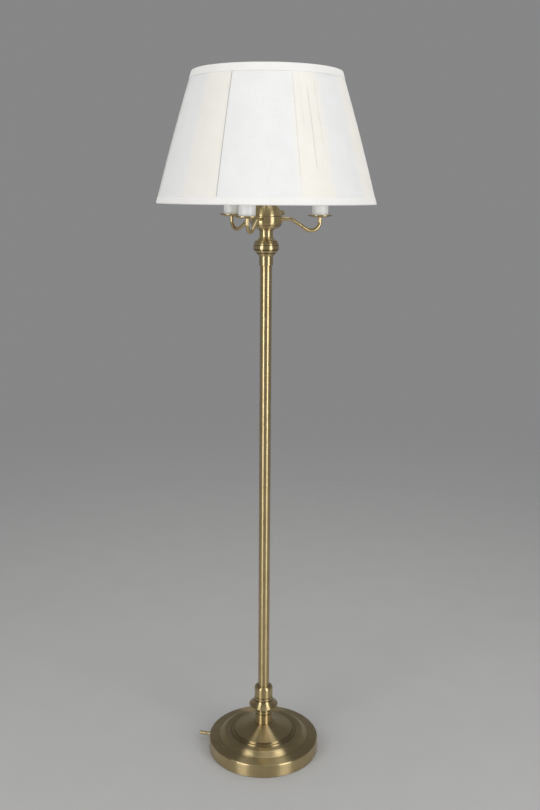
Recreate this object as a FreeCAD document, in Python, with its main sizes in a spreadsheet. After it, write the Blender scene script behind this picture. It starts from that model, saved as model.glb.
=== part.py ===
import FreeCAD, Part
import math
import os
import re

import Sketcher

# Candlestick floor lamp: a turned brass column on a weighted round base, a cluster of three
# candle arms round a centre socket, and a fabric shade carried by a harp.
#
# Everything is in millimetres, +Z up, with the origin on the floor at the middle of the base.
# Each turned piece is a sketch revolved about its own axis, and the stack is built from the
# floor up: every level below is the sum of the heights under it.

# ------------------------------------------------------------------------------------------
# Driving dimensions
# ------------------------------------------------------------------------------------------

SIZES = [
    # base
    ("base_diameter", 254.0, "over the rim of the base cover"),
    ("base_lift", 1.0, "gap between the cover's rim and the floor"),
    ("base_wall", 1.2, "spun steel of the cover"),
    ("rim_height", 31.0, "floor to the outer edge of the plateau"),
    ("rim_round", 3.0, "rounding of the rim's upper edge"),
    ("plateau_rise", 3.5, "rise of the plateau towards the step"),
    ("step_foot_radius", 104.0, "foot of the ogee step"),
    ("step_top_radius", 90.0, "head of the ogee step"),
    ("step_height", 9.5, "height of the ogee step"),
    ("ogee_round", 30.0, "both curves of the ogee step"),
    ("ring_radius", 76.0, "inner edge of the flat ring"),
    ("ledge_rise", 2.2, "rise from the flat ring to the ledge round the low cone"),
    ("ledge_draft", 1.5, "slant of both small steps at the ledge"),
    ("cone_foot_radius", 68.0, "outer edge of the low cone"),
    ("cone_foot_rise", 6.0, "rise from the flat ring to the low cone"),
    ("cone_rise", 17.0, "height of the low cone"),
    ("cone_sweep_round", 300.0, "slight hollow of the low cone"),
    ("crown_radius", 21.0, "flat crown under the column"),
    ("felt_thickness", 2.0, "felt under the weight"),
    ("felt_inset", 3.0, "felt edge inside the weight's edge"),
    ("weight_thickness", 20.0, "disc of the cast weight"),
    ("weight_rim_gap", 6.0, "room for the cord outlet's nut"),
    ("boss_foot_radius", 40.0, "cast boss where it leaves the disc"),
    ("boss_inset", 2.4, "cast boss inside the crown's edge"),
    ("pocket_radius", 17.0, "pocket for the nut under the weight"),
    ("pocket_roof", 38.0, "floor to the roof of that pocket"),
    ("base_washer_radius", 13.0, "washer under the weight"),
    ("base_washer_thickness", 1.5, "washer under the weight"),
    ("nut_across_flats", 14.3, "hex nuts of the threaded tubes"),
    ("nut_height", 4.0, "hex nuts of the threaded tubes"),
    ("base_nipple_tail", 3.0, "threaded tube below its nut"),
    # wiring and threaded tubes
    ("lead_diameter", 5.2, "main lead inside the column"),
    ("lead_clearance", 0.8, "round the main lead"),
    ("nipple_wall", 1.6, "threaded tube of the column"),
    ("hole_clearance", 0.3, "round a threaded tube in a plain hole"),
    ("close_clearance", 0.1, "round a tube in a close hole"),
    ("lead_bend", 14.0, "bend of the main lead under the column"),
    # cord outlet
    ("outlet_level", 15.0, "floor to the cord outlet's axis"),
    ("outlet_azimuth", 168.5, "direction of the cord outlet, from +X"),
    ("outlet_thread_radius", 4.0, "threaded end through the rim"),
    ("outlet_neck_radius", 3.4, "neck outside the rim"),
    ("outlet_neck_length", 14.0, "neck outside the rim"),
    ("outlet_flare_length", 2.0, "taper to the mouth"),
    ("outlet_mouth_length", 12.0, "wide mouth of the outlet"),
    ("outlet_cord_clearance", 0.2, "round a cord in the outlet"),
    ("outlet_nut_radius", 6.0, "round nut behind the rim"),
    ("outlet_nut_thickness", 3.0, "round nut behind the rim"),
    # foot of the column
    ("neck_radius", 19.5, "turned neck on the crown"),
    ("neck_wall", 2.5, "wall of the turned neck"),
    ("neck_roof", 3.0, "top plate of the turned neck"),
    ("neck_height", 41.0, "crown to the top of the neck"),
    ("neck_chamfer", 0.8, "upper edge of the neck"),
    ("neck_ring_level", 24.0, "first turned groove above the crown"),
    ("neck_ring_pitch", 8.0, "between the turned grooves"),
    ("turned_groove_depth", 1.0, "turned grooves of the neck and the foot collar"),
    ("turned_line_depth", 0.6, "turned lines on the ball, the body and the dome"),
    ("neck_spigot_radius", 14.0, "spigot that carries the flare"),
    ("flare_lift", 3.0, "neck top to the flare's edge"),
    ("flare_height", 14.0, "flared skirt"),
    ("flare_reach", 12.0, "skirt edge outside the collar"),
    ("flare_edge", 1.0, "upright edge of the skirt"),
    ("flare_round", 60.0, "hollow of the skirt"),
    ("flare_wall", 1.2, "spun brass of the skirt"),
    ("foot_collar_wall", 8.1, "collar round the foot of the pole"),
    ("foot_collar_height", 35.0, "collar round the foot of the pole"),
    ("foot_collar_round", 7.5, "rounded shoulder of that collar"),
    ("foot_bead_height", 7.5, "bead at the foot of that collar, between two grooves"),
    ("foot_collar_floor", 3.0, "plate that the pole stands on"),
    # pole
    ("pole_diameter", 25.4, "column tube"),
    ("pole_wall", 1.0, "column tube"),
    ("pole_fit", 0.2, "collars round the tube"),
    ("pole_edge", 0.4, "chamfered ends of the tube"),
    ("lower_pole_length", 517.0, "lower tube"),
    ("upper_pole_length", 501.0, "upper tube"),
    ("bush_length", 18.0, "threaded bushes pressed into the tubes"),
    ("stud_reach", 16.0, "joining stud inside each bush"),
    # head of the column
    ("top_collar_wall", 2.1, "collar round the head of the pole"),
    ("top_collar_lap", 16.0, "collar below the head of the pole"),
    ("top_collar_roof", 4.0, "collar above the head of the pole"),
    ("top_collar_round", 1.5, "lower edge of that collar"),
    ("knuckle_wall", 2.5, "both halves of the hollow ball"),
    ("knuckle_foot_radius", 15.5, "ball where it meets the collar"),
    ("knuckle_rim_radius", 25.8, "lower half of the ball at its joint"),
    ("knuckle_upper_rim_radius", 27.0, "upper half of the ball at its joint"),
    ("knuckle_widest_radius", 27.3, "ball at its widest"),
    ("knuckle_lower_height", 13.5, "collar to the ball's joint"),
    ("knuckle_rim", 1.0, "upright edge at the joint"),
    ("knuckle_widest_rise", 4.5, "joint to the widest level"),
    ("knuckle_line_rise", 9.5, "joint to the line on the ball's side"),
    ("knuckle_line_inset", 0.7, "line on the ball's side inside its widest"),
    ("knuckle_shoulder_rise", 16.5, "joint to the line under the ball's shoulder"),
    ("knuckle_shoulder_radius", 23.4, "ball under its shoulder"),
    ("knuckle_shoulder_round", 3.0, "shoulder of the ball"),
    ("knuckle_side_round", 20.4, "side of the ball"),
    ("knuckle_upper_height", 23.5, "joint to the foot of the stem"),
    ("stem_radius", 14.4, "short stem between ball and cluster"),
    ("stem_height", 18.0, "short stem between ball and cluster"),
    ("stem_flare", 1.8, "stem foot outside the stem"),
    ("stem_flare_rise", 3.6, "height of the stem's flared foot"),
    ("stem_flare_round", 7.0, "hollow at the stem's foot"),
    ("stem_head_flare", 1.2, "stem head outside the stem"),
    ("stem_head_rise", 2.4, "height of the stem's flared head"),
    ("cluster_radius", 33.3, "body that the arms leave"),
    ("cluster_wall", 2.0, "body that the arms leave"),
    ("cluster_height", 27.4, "body that the arms leave"),
    ("cluster_step_radius", 18.0, "low step under the body"),
    ("cluster_step_height", 1.4, "low step under the body"),
    ("cluster_step_ledge", 2.6, "ledge above the low step"),
    ("cluster_bowl_height", 13.5, "body foot to its upright side"),
    ("cluster_bowl_round", 15.5, "bowl of the body"),
    ("cluster_edge", 0.9, "chamfer under the dome"),
    ("cluster_line_rise", 8.6, "foot of the body to its turned line"),
    ("cluster_line_inset", 2.1, "turned line inside the body's side"),
    ("dome_radius", 32.0, "dome at its foot"),
    ("dome_wall", 1.5, "spun brass of the dome"),
    ("dome_height", 26.1, "dome on the body"),
    ("dome_skirt", 3.0, "upright foot of the dome"),
    ("dome_shoulder_radius", 21.0, "end of the dome's side"),
    ("dome_shoulder_drop", 3.0, "end of the dome's side below its top"),
    ("dome_shoulder_round", 4.8, "rounded shoulder of the dome"),
    ("dome_side_round", 33.0, "side of the dome"),
    ("dome_line_rise", 12.6, "foot of the dome to its turned line"),
    ("dome_line_inset", 2.9, "turned line inside the dome's foot"),
    ("dome_top_radius", 17.5, "flat top of the dome"),
    # candle arms
    ("arm_count", 3, "candle arms round the body"),
    ("arm_azimuth", 10.8, "direction of the first arm, from +X"),
    ("arm_reach", 115.0, "column axis to the candle's axis"),
    ("arm_level", 21.5, "body foot to the arm's root"),
    ("arm_lead_diameter", 4.4, "lead in each arm"),
    ("arm_wall", 1.0, "tube of the arms"),
    ("arm_tail", 6.0, "threaded root inside the body's wall"),
    ("arm_collar_length", 3.6, "brazed collar outside the body"),
    ("arm_collar_wall", 1.5, "brazed collar round the tube"),
    ("arm_straight", 12.5, "straight run outside the body"),
    ("arm_shoulder_bend", 25.0, "bend at the shoulder of the arm"),
    ("arm_fall", 33.0, "slope of the arm"),
    ("arm_bowl_bend", 19.0, "bend at the bottom of the arm"),
    ("arm_nut_thickness", 3.2, "hex nut inside the body's wall"),
    ("arm_nut_across_flats", 10.0, "hex nut inside the body's wall"),
    ("arm_nut_gap", 0.9, "flat nut to the round wall"),
    ("cup_rise", 3.2, "arm's root to the underside of the cup"),
    ("cup_radius", 26.5, "drip cup"),
    ("cup_wall", 1.0, "drip cup"),
    ("cup_floor_radius", 11.0, "flat floor of the cup"),
    ("cup_depth", 3.4, "floor to rim of the cup"),
    ("cup_rim", 1.6, "upright rim of the cup"),
    ("cup_round", 60.0, "hollow of the cup"),
    ("arm_grip", 18.0, "arm's threaded end above the cup"),
    ("pillar_wall", 3.0, "pillar that clamps the cup"),
    ("pillar_height", 44.0, "cup to the candle socket"),
    # candle sockets
    ("sleeve_diameter", 34.0, "candle sleeve"),
    ("sleeve_wall", 1.25, "candle sleeve"),
    ("sleeve_length", 100.0, "candle sleeve"),
    ("sleeve_play", 0.4, "candle sleeve round its socket"),
    ("sleeve_lift", 1.0, "candle sleeve above the flat floor of its cup"),
    ("socket_length", 52.0, "candle socket"),
    ("socket_floor", 4.0, "floor of the candle socket"),
    ("screw_bore_radius", 13.3, "screw shells of the four sockets"),
    ("screw_wall", 0.6, "screw shells of the four sockets"),
    ("screw_length", 24.0, "screw shells of the four sockets"),
    ("screw_lift", 7.0, "socket floor to the screw shell"),
    ("contact_radius", 4.0, "centre contacts"),
    ("contact_height", 5.0, "centre contacts"),
    # candle switch
    ("switch_azimuth", 40.0, "direction of the candle switch, from +X"),
    ("switch_rise", 6.1, "foot of the dome to the switch's axis"),
    ("switch_radius", 8.0, "rotary switch inside the body"),
    ("switch_root", 10.0, "column axis to the back of the switch"),
    ("switch_length", 13.0, "rotary switch inside the body"),
    ("switch_back_wall", 1.2, "back of the rotary switch"),
    ("switch_bush_radius", 4.0, "threaded bush through the dome"),
    ("switch_bush_reach", 2.8, "threaded bush outside the dome"),
    ("switch_nut_radius", 5.4, "round nut on the bush"),
    ("switch_nut_thickness", 2.0, "round nut on the bush"),
    ("shaft_radius", 1.6, "shafts of both turn knobs"),
    ("shaft_clearance", 0.05, "round both shafts"),
    ("knob_gap", 0.3, "in front of and behind a turn knob"),
    ("switch_knob_radius", 5.2, "candle switch knob"),
    ("switch_knob_length", 12.0, "candle switch knob"),
    ("knob_round", 1.2, "outer edge of both knobs"),
    ("flute_count", 12, "flutes of both knobs"),
    ("flute_radius", 0.7, "flutes of both knobs"),
    # centre socket
    ("saddle_thickness", 1.6, "harp saddle"),
    ("saddle_width", 12.0, "harp saddle"),
    ("saddle_tab_height", 14.0, "upturned ends of the saddle"),
    ("saddle_tab_width", 4.4, "upturned ends of the saddle"),
    ("cap_hub_radius", 8.0, "threaded hub of the socket cap"),
    ("cap_hub_height", 8.0, "threaded hub of the socket cap"),
    ("cap_bell_height", 8.0, "bell of the socket cap"),
    ("cap_bell_round", 13.0, "bell of the socket cap"),
    ("cap_rim_height", 6.0, "rim of the socket cap"),
    ("cap_wall", 1.0, "socket cap"),
    ("cap_fit", 0.15, "socket shell inside the cap"),
    ("shell_wall", 0.7, "socket shell"),
    ("shell_radius", 15.7, "socket shell"),
    ("shell_length", 46.0, "socket shell"),
    ("liner_wall", 0.7, "insulating liner"),
    ("liner_fit", 0.1, "round the liner"),
    ("interior_lift", 2.0, "cap's hub to the socket interior"),
    ("interior_height", 19.0, "socket interior with the switch"),
    ("contact_well_radius", 9.0, "well round the centre contact"),
    ("key_level", 14.5, "foot of the interior to the key's axis"),
    ("key_azimuth", -90.0, "direction of the socket's key, from +X"),
    ("key_shaft_depth", 9.0, "key shaft inside the interior"),
    ("key_reach", 8.0, "socket shell to the key's knob"),
    ("key_knob_radius", 5.6, "key's knob"),
    ("key_knob_length", 13.0, "key's knob"),
    ("key_slot_clearance", 1.2, "slot round the key's shaft"),
    # harp and finial
    ("harp_azimuth", 0.0, "plane of the harp, from +X"),
    ("harp_height", 241.0, "saddle to the harp's seat"),
    ("harp_wire", 4.0, "wire of the harp"),
    ("harp_foot_half_span", 30.0, "axis to each leg at the saddle"),
    ("harp_half_width", 57.0, "axis to each leg at the widest"),
    ("harp_foot_rise", 26.0, "upright foot of each leg"),
    ("harp_flare_angle", 35.0, "lean of the legs where they spread"),
    ("harp_top_bend", 47.0, "bend under the seat"),
    ("seat_radius", 7.0, "round seat for the shade"),
    ("seat_height", 6.0, "round seat for the shade"),
    ("stud_radius", 3.175, "threaded stud on the seat"),
    ("stud_height", 12.0, "threaded stud on the seat"),
    ("harp_sleeve_wall", 1.2, "locking sleeves of the harp"),
    ("harp_sleeve_length", 15.0, "locking sleeves of the harp"),
    ("harp_sleeve_fit", 0.6, "locking sleeves round the wire"),
    ("finial_height", 18.4, "finial"),
    ("finial_foot_radius", 6.0, "finial's foot"),
    ("finial_foot_height", 2.5, "finial's foot"),
    ("finial_waist_radius", 4.6, "finial's waist"),
    ("finial_waist_rise", 5.5, "foot to the waist"),
    ("finial_ball_radius", 6.9, "finial's ball"),
    ("finial_thread_fit", 0.05, "finial round the stud"),
    ("running_gap", 0.3, "under and over the shade's washer"),
    # shade
    ("shade_bottom_diameter", 457.2, "shade over its lower trim"),
    ("shade_top_diameter", 306.0, "shade over its upper trim"),
    ("shade_height", 260.0, "shade over both hems"),
    ("shade_recess", 13.2, "washer to the top of the shade"),
    ("trim_thickness", 1.2, "folded trim"),
    ("lower_trim_height", 14.0, "lower trim band"),
    ("upper_trim_height", 15.5, "upper trim band"),
    ("cover_thickness", 0.6, "pleatless cover"),
    ("lining_thickness", 0.5, "lining"),
    ("lining_drop", 5.0, "lining's edge under the top ring"),
    ("cloth_gap", 0.1, "between the wire frame and the cloth"),
    ("ring_wire", 3.2, "rings and spider"),
    ("rib_wire", 2.2, "ribs"),
    ("rib_count", 7, "ribs of the shade"),
    ("rib_azimuth", 245.3, "direction of the first rib, from +X"),
    ("spider_arms", 3, "arms of the spider"),
    ("spider_azimuth", 70.8, "direction of the first arm of the spider, from +X"),
    ("spider_wire", 2.6, "arms of the spider"),
    ("spider_root", 7.6, "column axis to the arms' inner ends"),
    ("washer_radius", 11.0, "washer of the spider"),
    ("washer_thickness", 1.5, "washer of the spider"),
    ("washer_fit", 0.4, "washer round the stud"),
    ("spider_flat", 24.0, "level run of each spider arm"),
]

doc = FreeCAD.newDocument("candlestick_floor_lamp")
sheet = doc.addObject("Spreadsheet::Sheet", "dims")
for row, (size_name, size_value, size_note) in enumerate(SIZES, 1):
    sheet.set(f"A{row}", size_name)
    sheet.set(f"B{row}", str(size_value))
    sheet.set(f"C{row}", size_note)
    sheet.setAlias(f"B{row}", size_name)
doc.recompute()

# ------------------------------------------------------------------------------------------
# Sizes and levels that follow from the driving dimensions, as expressions
# ------------------------------------------------------------------------------------------

RIM = "(base_diameter / 2)"
STEP_FOOT = "(rim_height + plateau_rise)"
STEP_TOP = f"({STEP_FOOT} + step_height)"
LEDGE = f"({STEP_TOP} + ledge_rise)"
CONE_FOOT = f"({STEP_TOP} + cone_foot_rise)"
CROWN = f"({CONE_FOOT} + cone_rise)"
WEIGHT_RADIUS = f"({RIM} - base_wall - weight_rim_gap)"
WEIGHT_TOP = "(felt_thickness + weight_thickness)"

NIPPLE_BORE = "(lead_diameter / 2 + lead_clearance)"
NIPPLE = f"({NIPPLE_BORE} + nipple_wall)"
HOLE = f"({NIPPLE} + hole_clearance)"
BASE_NUT = "(pocket_roof - base_washer_thickness - nut_height)"

OUTLET_NUT_FACE = f"({RIM} - base_wall - hole_clearance)"
OUTLET_END = f"({OUTLET_NUT_FACE} - outlet_nut_thickness - hole_clearance)"

NECK_TOP = f"({CROWN} + neck_height)"
FLARE_FOOT = f"({NECK_TOP} + flare_lift)"
FLARE_TOP = f"({FLARE_FOOT} + flare_height)"
POLE_FOOT = f"({FLARE_TOP} + foot_collar_floor)"
POLE = "(pole_diameter / 2)"
POLE_BORE = f"({POLE} - pole_wall)"
FOOT_COLLAR = f"({POLE} + pole_fit + foot_collar_wall)"
POLE_JOINT = f"({POLE_FOOT} + lower_pole_length)"
POLE_TOP = f"({POLE_JOINT} + upper_pole_length)"

TOP_COLLAR = f"({POLE} + pole_fit + top_collar_wall)"
KNUCKLE_FOOT = f"({POLE_TOP} + top_collar_roof)"
KNUCKLE_JOINT = f"({KNUCKLE_FOOT} + knuckle_lower_height)"
STEM_FOOT = f"({KNUCKLE_JOINT} + knuckle_upper_height)"
CLUSTER_FOOT = f"({STEM_FOOT} + stem_height)"
DOME_FOOT = f"({CLUSTER_FOOT} + cluster_height)"
DOME_TOP = f"({DOME_FOOT} + dome_height)"
SADDLE = f"({DOME_TOP} + nut_height)"
CAP_FOOT = f"({SADDLE} + saddle_thickness)"

ARM_BORE = "(arm_lead_diameter / 2 + lead_clearance)"
ARM = f"({ARM_BORE} + arm_wall)"
ARM_LEVEL = f"({CLUSTER_FOOT} + arm_level)"
ARM_ROOT = "(cluster_radius - cluster_wall - arm_tail)"
CUP_FOOT = f"({ARM_LEVEL} + cup_rise)"
CUP_FLOOR = f"({CUP_FOOT} + cup_wall)"
PILLAR_TOP = f"({CUP_FLOOR} + pillar_height)"
SLEEVE = "(sleeve_diameter / 2)"
SOCKET = f"({SLEEVE} - sleeve_wall - sleeve_play)"
SOCKET_FLOOR = f"({PILLAR_TOP} + socket_floor)"
SCREW = "(screw_bore_radius + screw_wall)"

SWITCH_LEVEL = f"({DOME_FOOT} + switch_rise)"
SHAFT_BORE = "(shaft_radius + shaft_clearance)"
DOME_SIDE = "(dome_radius - knob_gap)"
SWITCH_BUSH_END = f"({DOME_SIDE} + switch_bush_reach)"
SWITCH_KNOB = f"({SWITCH_BUSH_END} + knob_gap)"

CAP_TOP = f"({CAP_FOOT} + cap_hub_height + cap_bell_height + cap_rim_height)"
SHELL_FOOT = f"({CAP_TOP} - cap_rim_height)"
CAP_RADIUS = "(shell_radius + cap_fit + cap_wall)"
LINER = "(shell_radius - shell_wall - liner_fit)"
INTERIOR = f"({LINER} - liner_wall - liner_fit)"
INTERIOR_FOOT = f"({CAP_FOOT} + cap_hub_height + interior_lift)"
INTERIOR_TOP = f"({INTERIOR_FOOT} + interior_height)"
KEY_LEVEL = f"({INTERIOR_FOOT} + key_level)"
KEY_KNOB = "(shell_radius + key_reach)"

SEAT = f"({SADDLE} + harp_height)"
WASHER = f"({SEAT} + running_gap)"
FINIAL = f"({WASHER} + washer_thickness + running_gap)"
SHADE_TOP = f"({WASHER} + shade_recess)"
SHADE_FOOT = f"({SHADE_TOP} - shade_height)"
FRAME_TOP = f"({SHADE_TOP} - trim_thickness - ring_wire / 2)"
FRAME_FOOT = f"({SHADE_FOOT} + trim_thickness + ring_wire / 2)"
CLOTH = "(trim_thickness + cover_thickness + 2 * cloth_gap + ring_wire / 2)"
SLOPE = "((shade_bottom_diameter - shade_top_diameter) / 2 / shade_height)"
RING_INSET = f"({CLOTH} + {SLOPE} * (trim_thickness + ring_wire / 2))"
TOP_RING = f"(shade_top_diameter / 2 + {SLOPE} * (2 * trim_thickness + ring_wire) - {RING_INSET})"
FOOT_RING = f"(shade_bottom_diameter / 2 - {RING_INSET})"

LEFT, RIGHT = 1, -1
ARMS = range(int(sheet.get("arm_count")))


def sized(text):
    """The expression with every plain word read as a size on the sheet."""
    return re.sub(r"\b([a-z]\w*)\b(?!\()", r"dims.\1", str(text))


def number(text):
    """The value of an expression today."""
    return float(sheet.evalExpression(sized(text)))


# ------------------------------------------------------------------------------------------
# Sketches
# ------------------------------------------------------------------------------------------

def body(name):
    """A sub-part that is made from sketches."""
    piece = doc.addObject("PartDesign::Body", name)
    piece.Label = name
    piece.AllowCompound = True
    return piece


def origin(piece, role):
    """The plane or axis of a sub-part's own origin."""
    return next(item for item in piece.Origin.OriginFeatures if item.Role == role)


def sketch_on(piece, role, offset="0"):
    """An empty sketch on one of the sub-part's planes, moved along the plane's normal."""
    sketch = piece.newObject("Sketcher::SketchObject", f"{piece.Name}_sketch")
    sketch.AttachmentSupport = (origin(piece, role), [""])
    sketch.MapMode = "FlatFace"
    sketch.setExpression("AttachmentOffset.Base.z", sized(offset))
    return sketch


def place_point(sketch, edge, end, x, y):
    """Tie one end of an edge to its two coordinates."""
    for kind, axis, text in (("DistanceX", -2, x), ("DistanceY", -1, y)):
        if text == "0":
            sketch.addConstraint(Sketcher.Constraint("PointOnObject", edge, end, axis))
            continue
        tie = sketch.addConstraint(Sketcher.Constraint(kind, -1, 1, edge, end, number(text)))
        sketch.setExpression(f"Constraints[{tie}]", sized(text))


def arc_between(start, stop, radius, side):
    """The short arc between two points that bulges to one side of the way along."""
    chord = stop - start
    across = FreeCAD.Vector(-chord.y, chord.x, 0).normalize()
    depth = math.sqrt(max(radius ** 2 - (chord.Length / 2) ** 2, 0))
    centre = (start + stop) / 2 - across * (side * depth)
    angles = [math.atan2(point.y - centre.y, point.x - centre.x) for point in (start, stop)]
    if side == LEFT:
        angles.reverse()
    circle = Part.Circle(centre, FreeCAD.Vector(0, 0, 1), radius)
    return Part.ArcOfCircle(circle, *angles)


def draw(sketch, corners, closed=True):
    """Lines and arcs through the corners. A corner is (x, y), or (x, y, radius, side) where the
    edge that follows it is an arc."""
    points = [FreeCAD.Vector(number(corner[0]), number(corner[1]), 0) for corner in corners]
    count = len(corners) if closed else len(corners) - 1
    ends = []
    for index in range(count):
        start = points[index]
        stop = points[(index + 1) % len(points)]
        if len(corners[index]) == 2:
            edge = sketch.addGeometry(Part.LineSegment(start, stop))
            ends.append((edge, 1, 2))
            continue
        radius, side = corners[index][2:]
        edge = sketch.addGeometry(arc_between(start, stop, number(radius), side))
        ends.append((edge, 2, 1) if side == LEFT else (edge, 1, 2))
        tie = sketch.addConstraint(Sketcher.Constraint("Radius", edge, number(radius)))
        sketch.setExpression(f"Constraints[{tie}]", sized(radius))
    for index, (edge, first, last) in enumerate(ends):
        place_point(sketch, edge, first, *corners[index][:2])
        if closed or index + 1 < count:
            following, following_first, _ = ends[(index + 1) % count]
            sketch.addConstraint(
                Sketcher.Constraint("Coincident", edge, last, following, following_first))
        else:
            place_point(sketch, edge, last, *corners[index + 1][:2])


def draw_circle(sketch, x, y, radius):
    """A circle tied to its centre and radius."""
    centre = FreeCAD.Vector(number(x), number(y), 0)
    edge = sketch.addGeometry(Part.Circle(centre, FreeCAD.Vector(0, 0, 1), number(radius)))
    tie = sketch.addConstraint(Sketcher.Constraint("Radius", edge, number(radius)))
    sketch.setExpression(f"Constraints[{tie}]", sized(radius))
    place_point(sketch, edge, 3, x, y)


def rectangle(left, right, bottom, top):
    """Corners of an upright rectangle."""
    return [(left, bottom), (right, bottom), (right, top), (left, top)]


def spun(outer, wall, inward):
    """Closed outline of a spun sheet: the outer line from the hub's edge to the rim, and the
    same line moved inward by the wall (inward is "-" for a dome and "+" for a bowl). The last
    two corners are the rim's upright edge, which keeps its levels."""
    inner = []
    for index, (r, z, *arc) in enumerate(outer):
        inner_r = r if index == 0 else f"{r} - {wall}"
        inner_z = f"{z} {inward} {wall}" if index < len(outer) - 2 else z
        inner.append((inner_r, inner_z, *arc))
    back = []
    for index in range(len(inner) - 1, -1, -1):
        arc = inner[index - 1][2:] if index else ()
        back.append((*inner[index][:2], *((arc[0], -arc[1]) if arc else ())))
    return list(outer) + back


# ------------------------------------------------------------------------------------------
# Features
# ------------------------------------------------------------------------------------------

def place(piece, azimuth="0", reach="0", level="0"):
    """Turn a sub-part about the column, and move it out and up."""
    piece.setExpression("Placement.Rotation.Angle", sized(azimuth))
    piece.setExpression("Placement.Base.x", sized(f"({reach}) * cos({azimuth})"))
    piece.setExpression("Placement.Base.y", sized(f"({reach}) * sin({azimuth})"))
    piece.setExpression("Placement.Base.z", sized(level))
    return piece


def revolve(piece, corners, axis="V_Axis"):
    """Revolve a closed outline, drawn as (radius, level), about the upright axis, or as
    (distance out, radius) about the level one."""
    sketch = sketch_on(piece, "XZ_Plane")
    draw(sketch, corners)
    turned = piece.newObject("PartDesign::Revolution", f"{piece.Name}_turned")
    turned.Profile = sketch
    turned.ReferenceAxis = (sketch, [axis])
    turned.Angle = 360
    return turned


def turned_piece(name, corners, axis="V_Axis", **where):
    """A sub-part that is one revolved outline."""
    piece = body(name)
    revolve(piece, corners, axis)
    return place(piece, **where)


def turned_line(piece, radius, level, depth="turned_line_depth"):
    """A fine line cut all round a turned sub-part."""
    sketch = sketch_on(piece, "XZ_Plane")
    draw(sketch, [
        (f"{radius} - {depth}", level),
        (radius, f"{level} - {depth}"),
        (f"{radius} + {depth}", level),
        (radius, f"{level} + {depth}"),
    ])
    line = piece.newObject("PartDesign::Groove", f"{piece.Name}_line")
    line.Profile = sketch
    line.ReferenceAxis = (sketch, ["V_Axis"])
    line.Angle = 360
    return line


def pad(piece, sketch, length):
    """Raise a sketch along its plane's normal."""
    raised = piece.newObject("PartDesign::Pad", f"{piece.Name}_pad")
    raised.Profile = sketch
    raised.setExpression("Length", sized(length))
    return raised


def bore_outward(piece, level, radius, start, stop):
    """A round hole along +X, from one distance to another."""
    sketch = sketch_on(piece, "YZ_Plane", start)
    draw_circle(sketch, "0", level, radius)
    hole = piece.newObject("PartDesign::Pocket", f"{piece.Name}_hole")
    hole.Profile = sketch
    hole.Reversed = True
    hole.setExpression("Length", sized(f"{stop} - ({start})"))
    return hole


def around(piece, feature, count, axis="Z_Axis"):
    """Repeat a feature round one of the sub-part's axes."""
    pattern = piece.newObject("PartDesign::PolarPattern", f"{piece.Name}_pattern")
    pattern.Originals = [feature]
    pattern.Axis = (origin(piece, axis), [""])
    pattern.Angle = 360
    pattern.setExpression("Occurrences", sized(count))
    piece.Tip = pattern
    return pattern


def pipe(piece, path, radii):
    """A rod or tube along a path in the XZ plane that starts along X."""
    spine = sketch_on(piece, "XZ_Plane")
    draw(spine, path, closed=False)
    section = sketch_on(piece, "YZ_Plane", path[0][0])
    for radius in radii:
        draw_circle(section, "0", path[0][1], radius)
    swept = piece.newObject("PartDesign::AdditivePipe", f"{piece.Name}_pipe")
    swept.Profile = section
    swept.Spine = (spine, [])
    return swept


def primitive(kind, name, level, **sizes):
    """An upright Part primitive whose sizes follow the sheet."""
    shape = doc.addObject(f"Part::{kind}", name)
    for size, text in sizes.items():
        shape.setExpression(size, sized(text))
    shape.setExpression("Placement.Base.z", sized(level))
    return shape


def cut(name, base, tool):
    """One shape less another."""
    result = doc.addObject("Part::Cut", name)
    result.Label = name
    result.Base = base
    result.Tool = tool
    return result


def tube(name, outer, inner, level, height):
    """A plain ring or tube."""
    outside = primitive("Cylinder", f"{name}_outside", level, Radius=outer, Height=height)
    inside = primitive("Cylinder", f"{name}_inside", level, Radius=inner, Height=height)
    return cut(name, outside, inside)


def hex_nut(name, across_flats, inner, level, height):
    """A hexagon nut on a threaded tube."""
    corner = f"{across_flats} / sqrt(3)"
    outside = primitive("Prism", f"{name}_outside", level, Circumradius=corner, Height=height)
    outside.Polygon = 6
    inside = primitive("Cylinder", f"{name}_inside", level, Radius=inner, Height=height)
    return cut(name, outside, inside)


def group(name, members):
    """Identical solids that share one node."""
    together = doc.addObject("Part::Compound", name)
    together.Label = name
    together.Links = members
    return together


# ------------------------------------------------------------------------------------------
# Base
# ------------------------------------------------------------------------------------------

def base_shell():
    """Spun cover: crown, low cone, ledge, flat ring, ogee step, plateau and rim."""
    middle_r = "((step_foot_radius + step_top_radius) / 2)"
    middle_z = f"({STEP_FOOT} + step_height / 2)"
    outer = [
        (HOLE, CROWN),
        ("crown_radius", CROWN, "cone_sweep_round", RIGHT),
        ("cone_foot_radius", CONE_FOOT),
        ("cone_foot_radius + ledge_draft", LEDGE),
        ("ring_radius - ledge_draft", LEDGE),
        ("ring_radius", STEP_TOP),
        ("step_top_radius", STEP_TOP, "ogee_round", LEFT),
        (middle_r, middle_z, "ogee_round", RIGHT),
        ("step_foot_radius", STEP_FOOT),
        (f"{RIM} - rim_round", "rim_height", "rim_round", LEFT),
        (RIM, "rim_height - rim_round"),
        (RIM, "base_lift"),
    ]
    piece = body("base_shell")
    revolve(piece, spun(outer, "base_wall", "-"))
    radius = "outlet_thread_radius + hole_clearance"
    bore_outward(piece, "outlet_level", radius, WEIGHT_RADIUS, f"{RIM} + base_wall")
    return place(piece, "outlet_azimuth")


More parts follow.
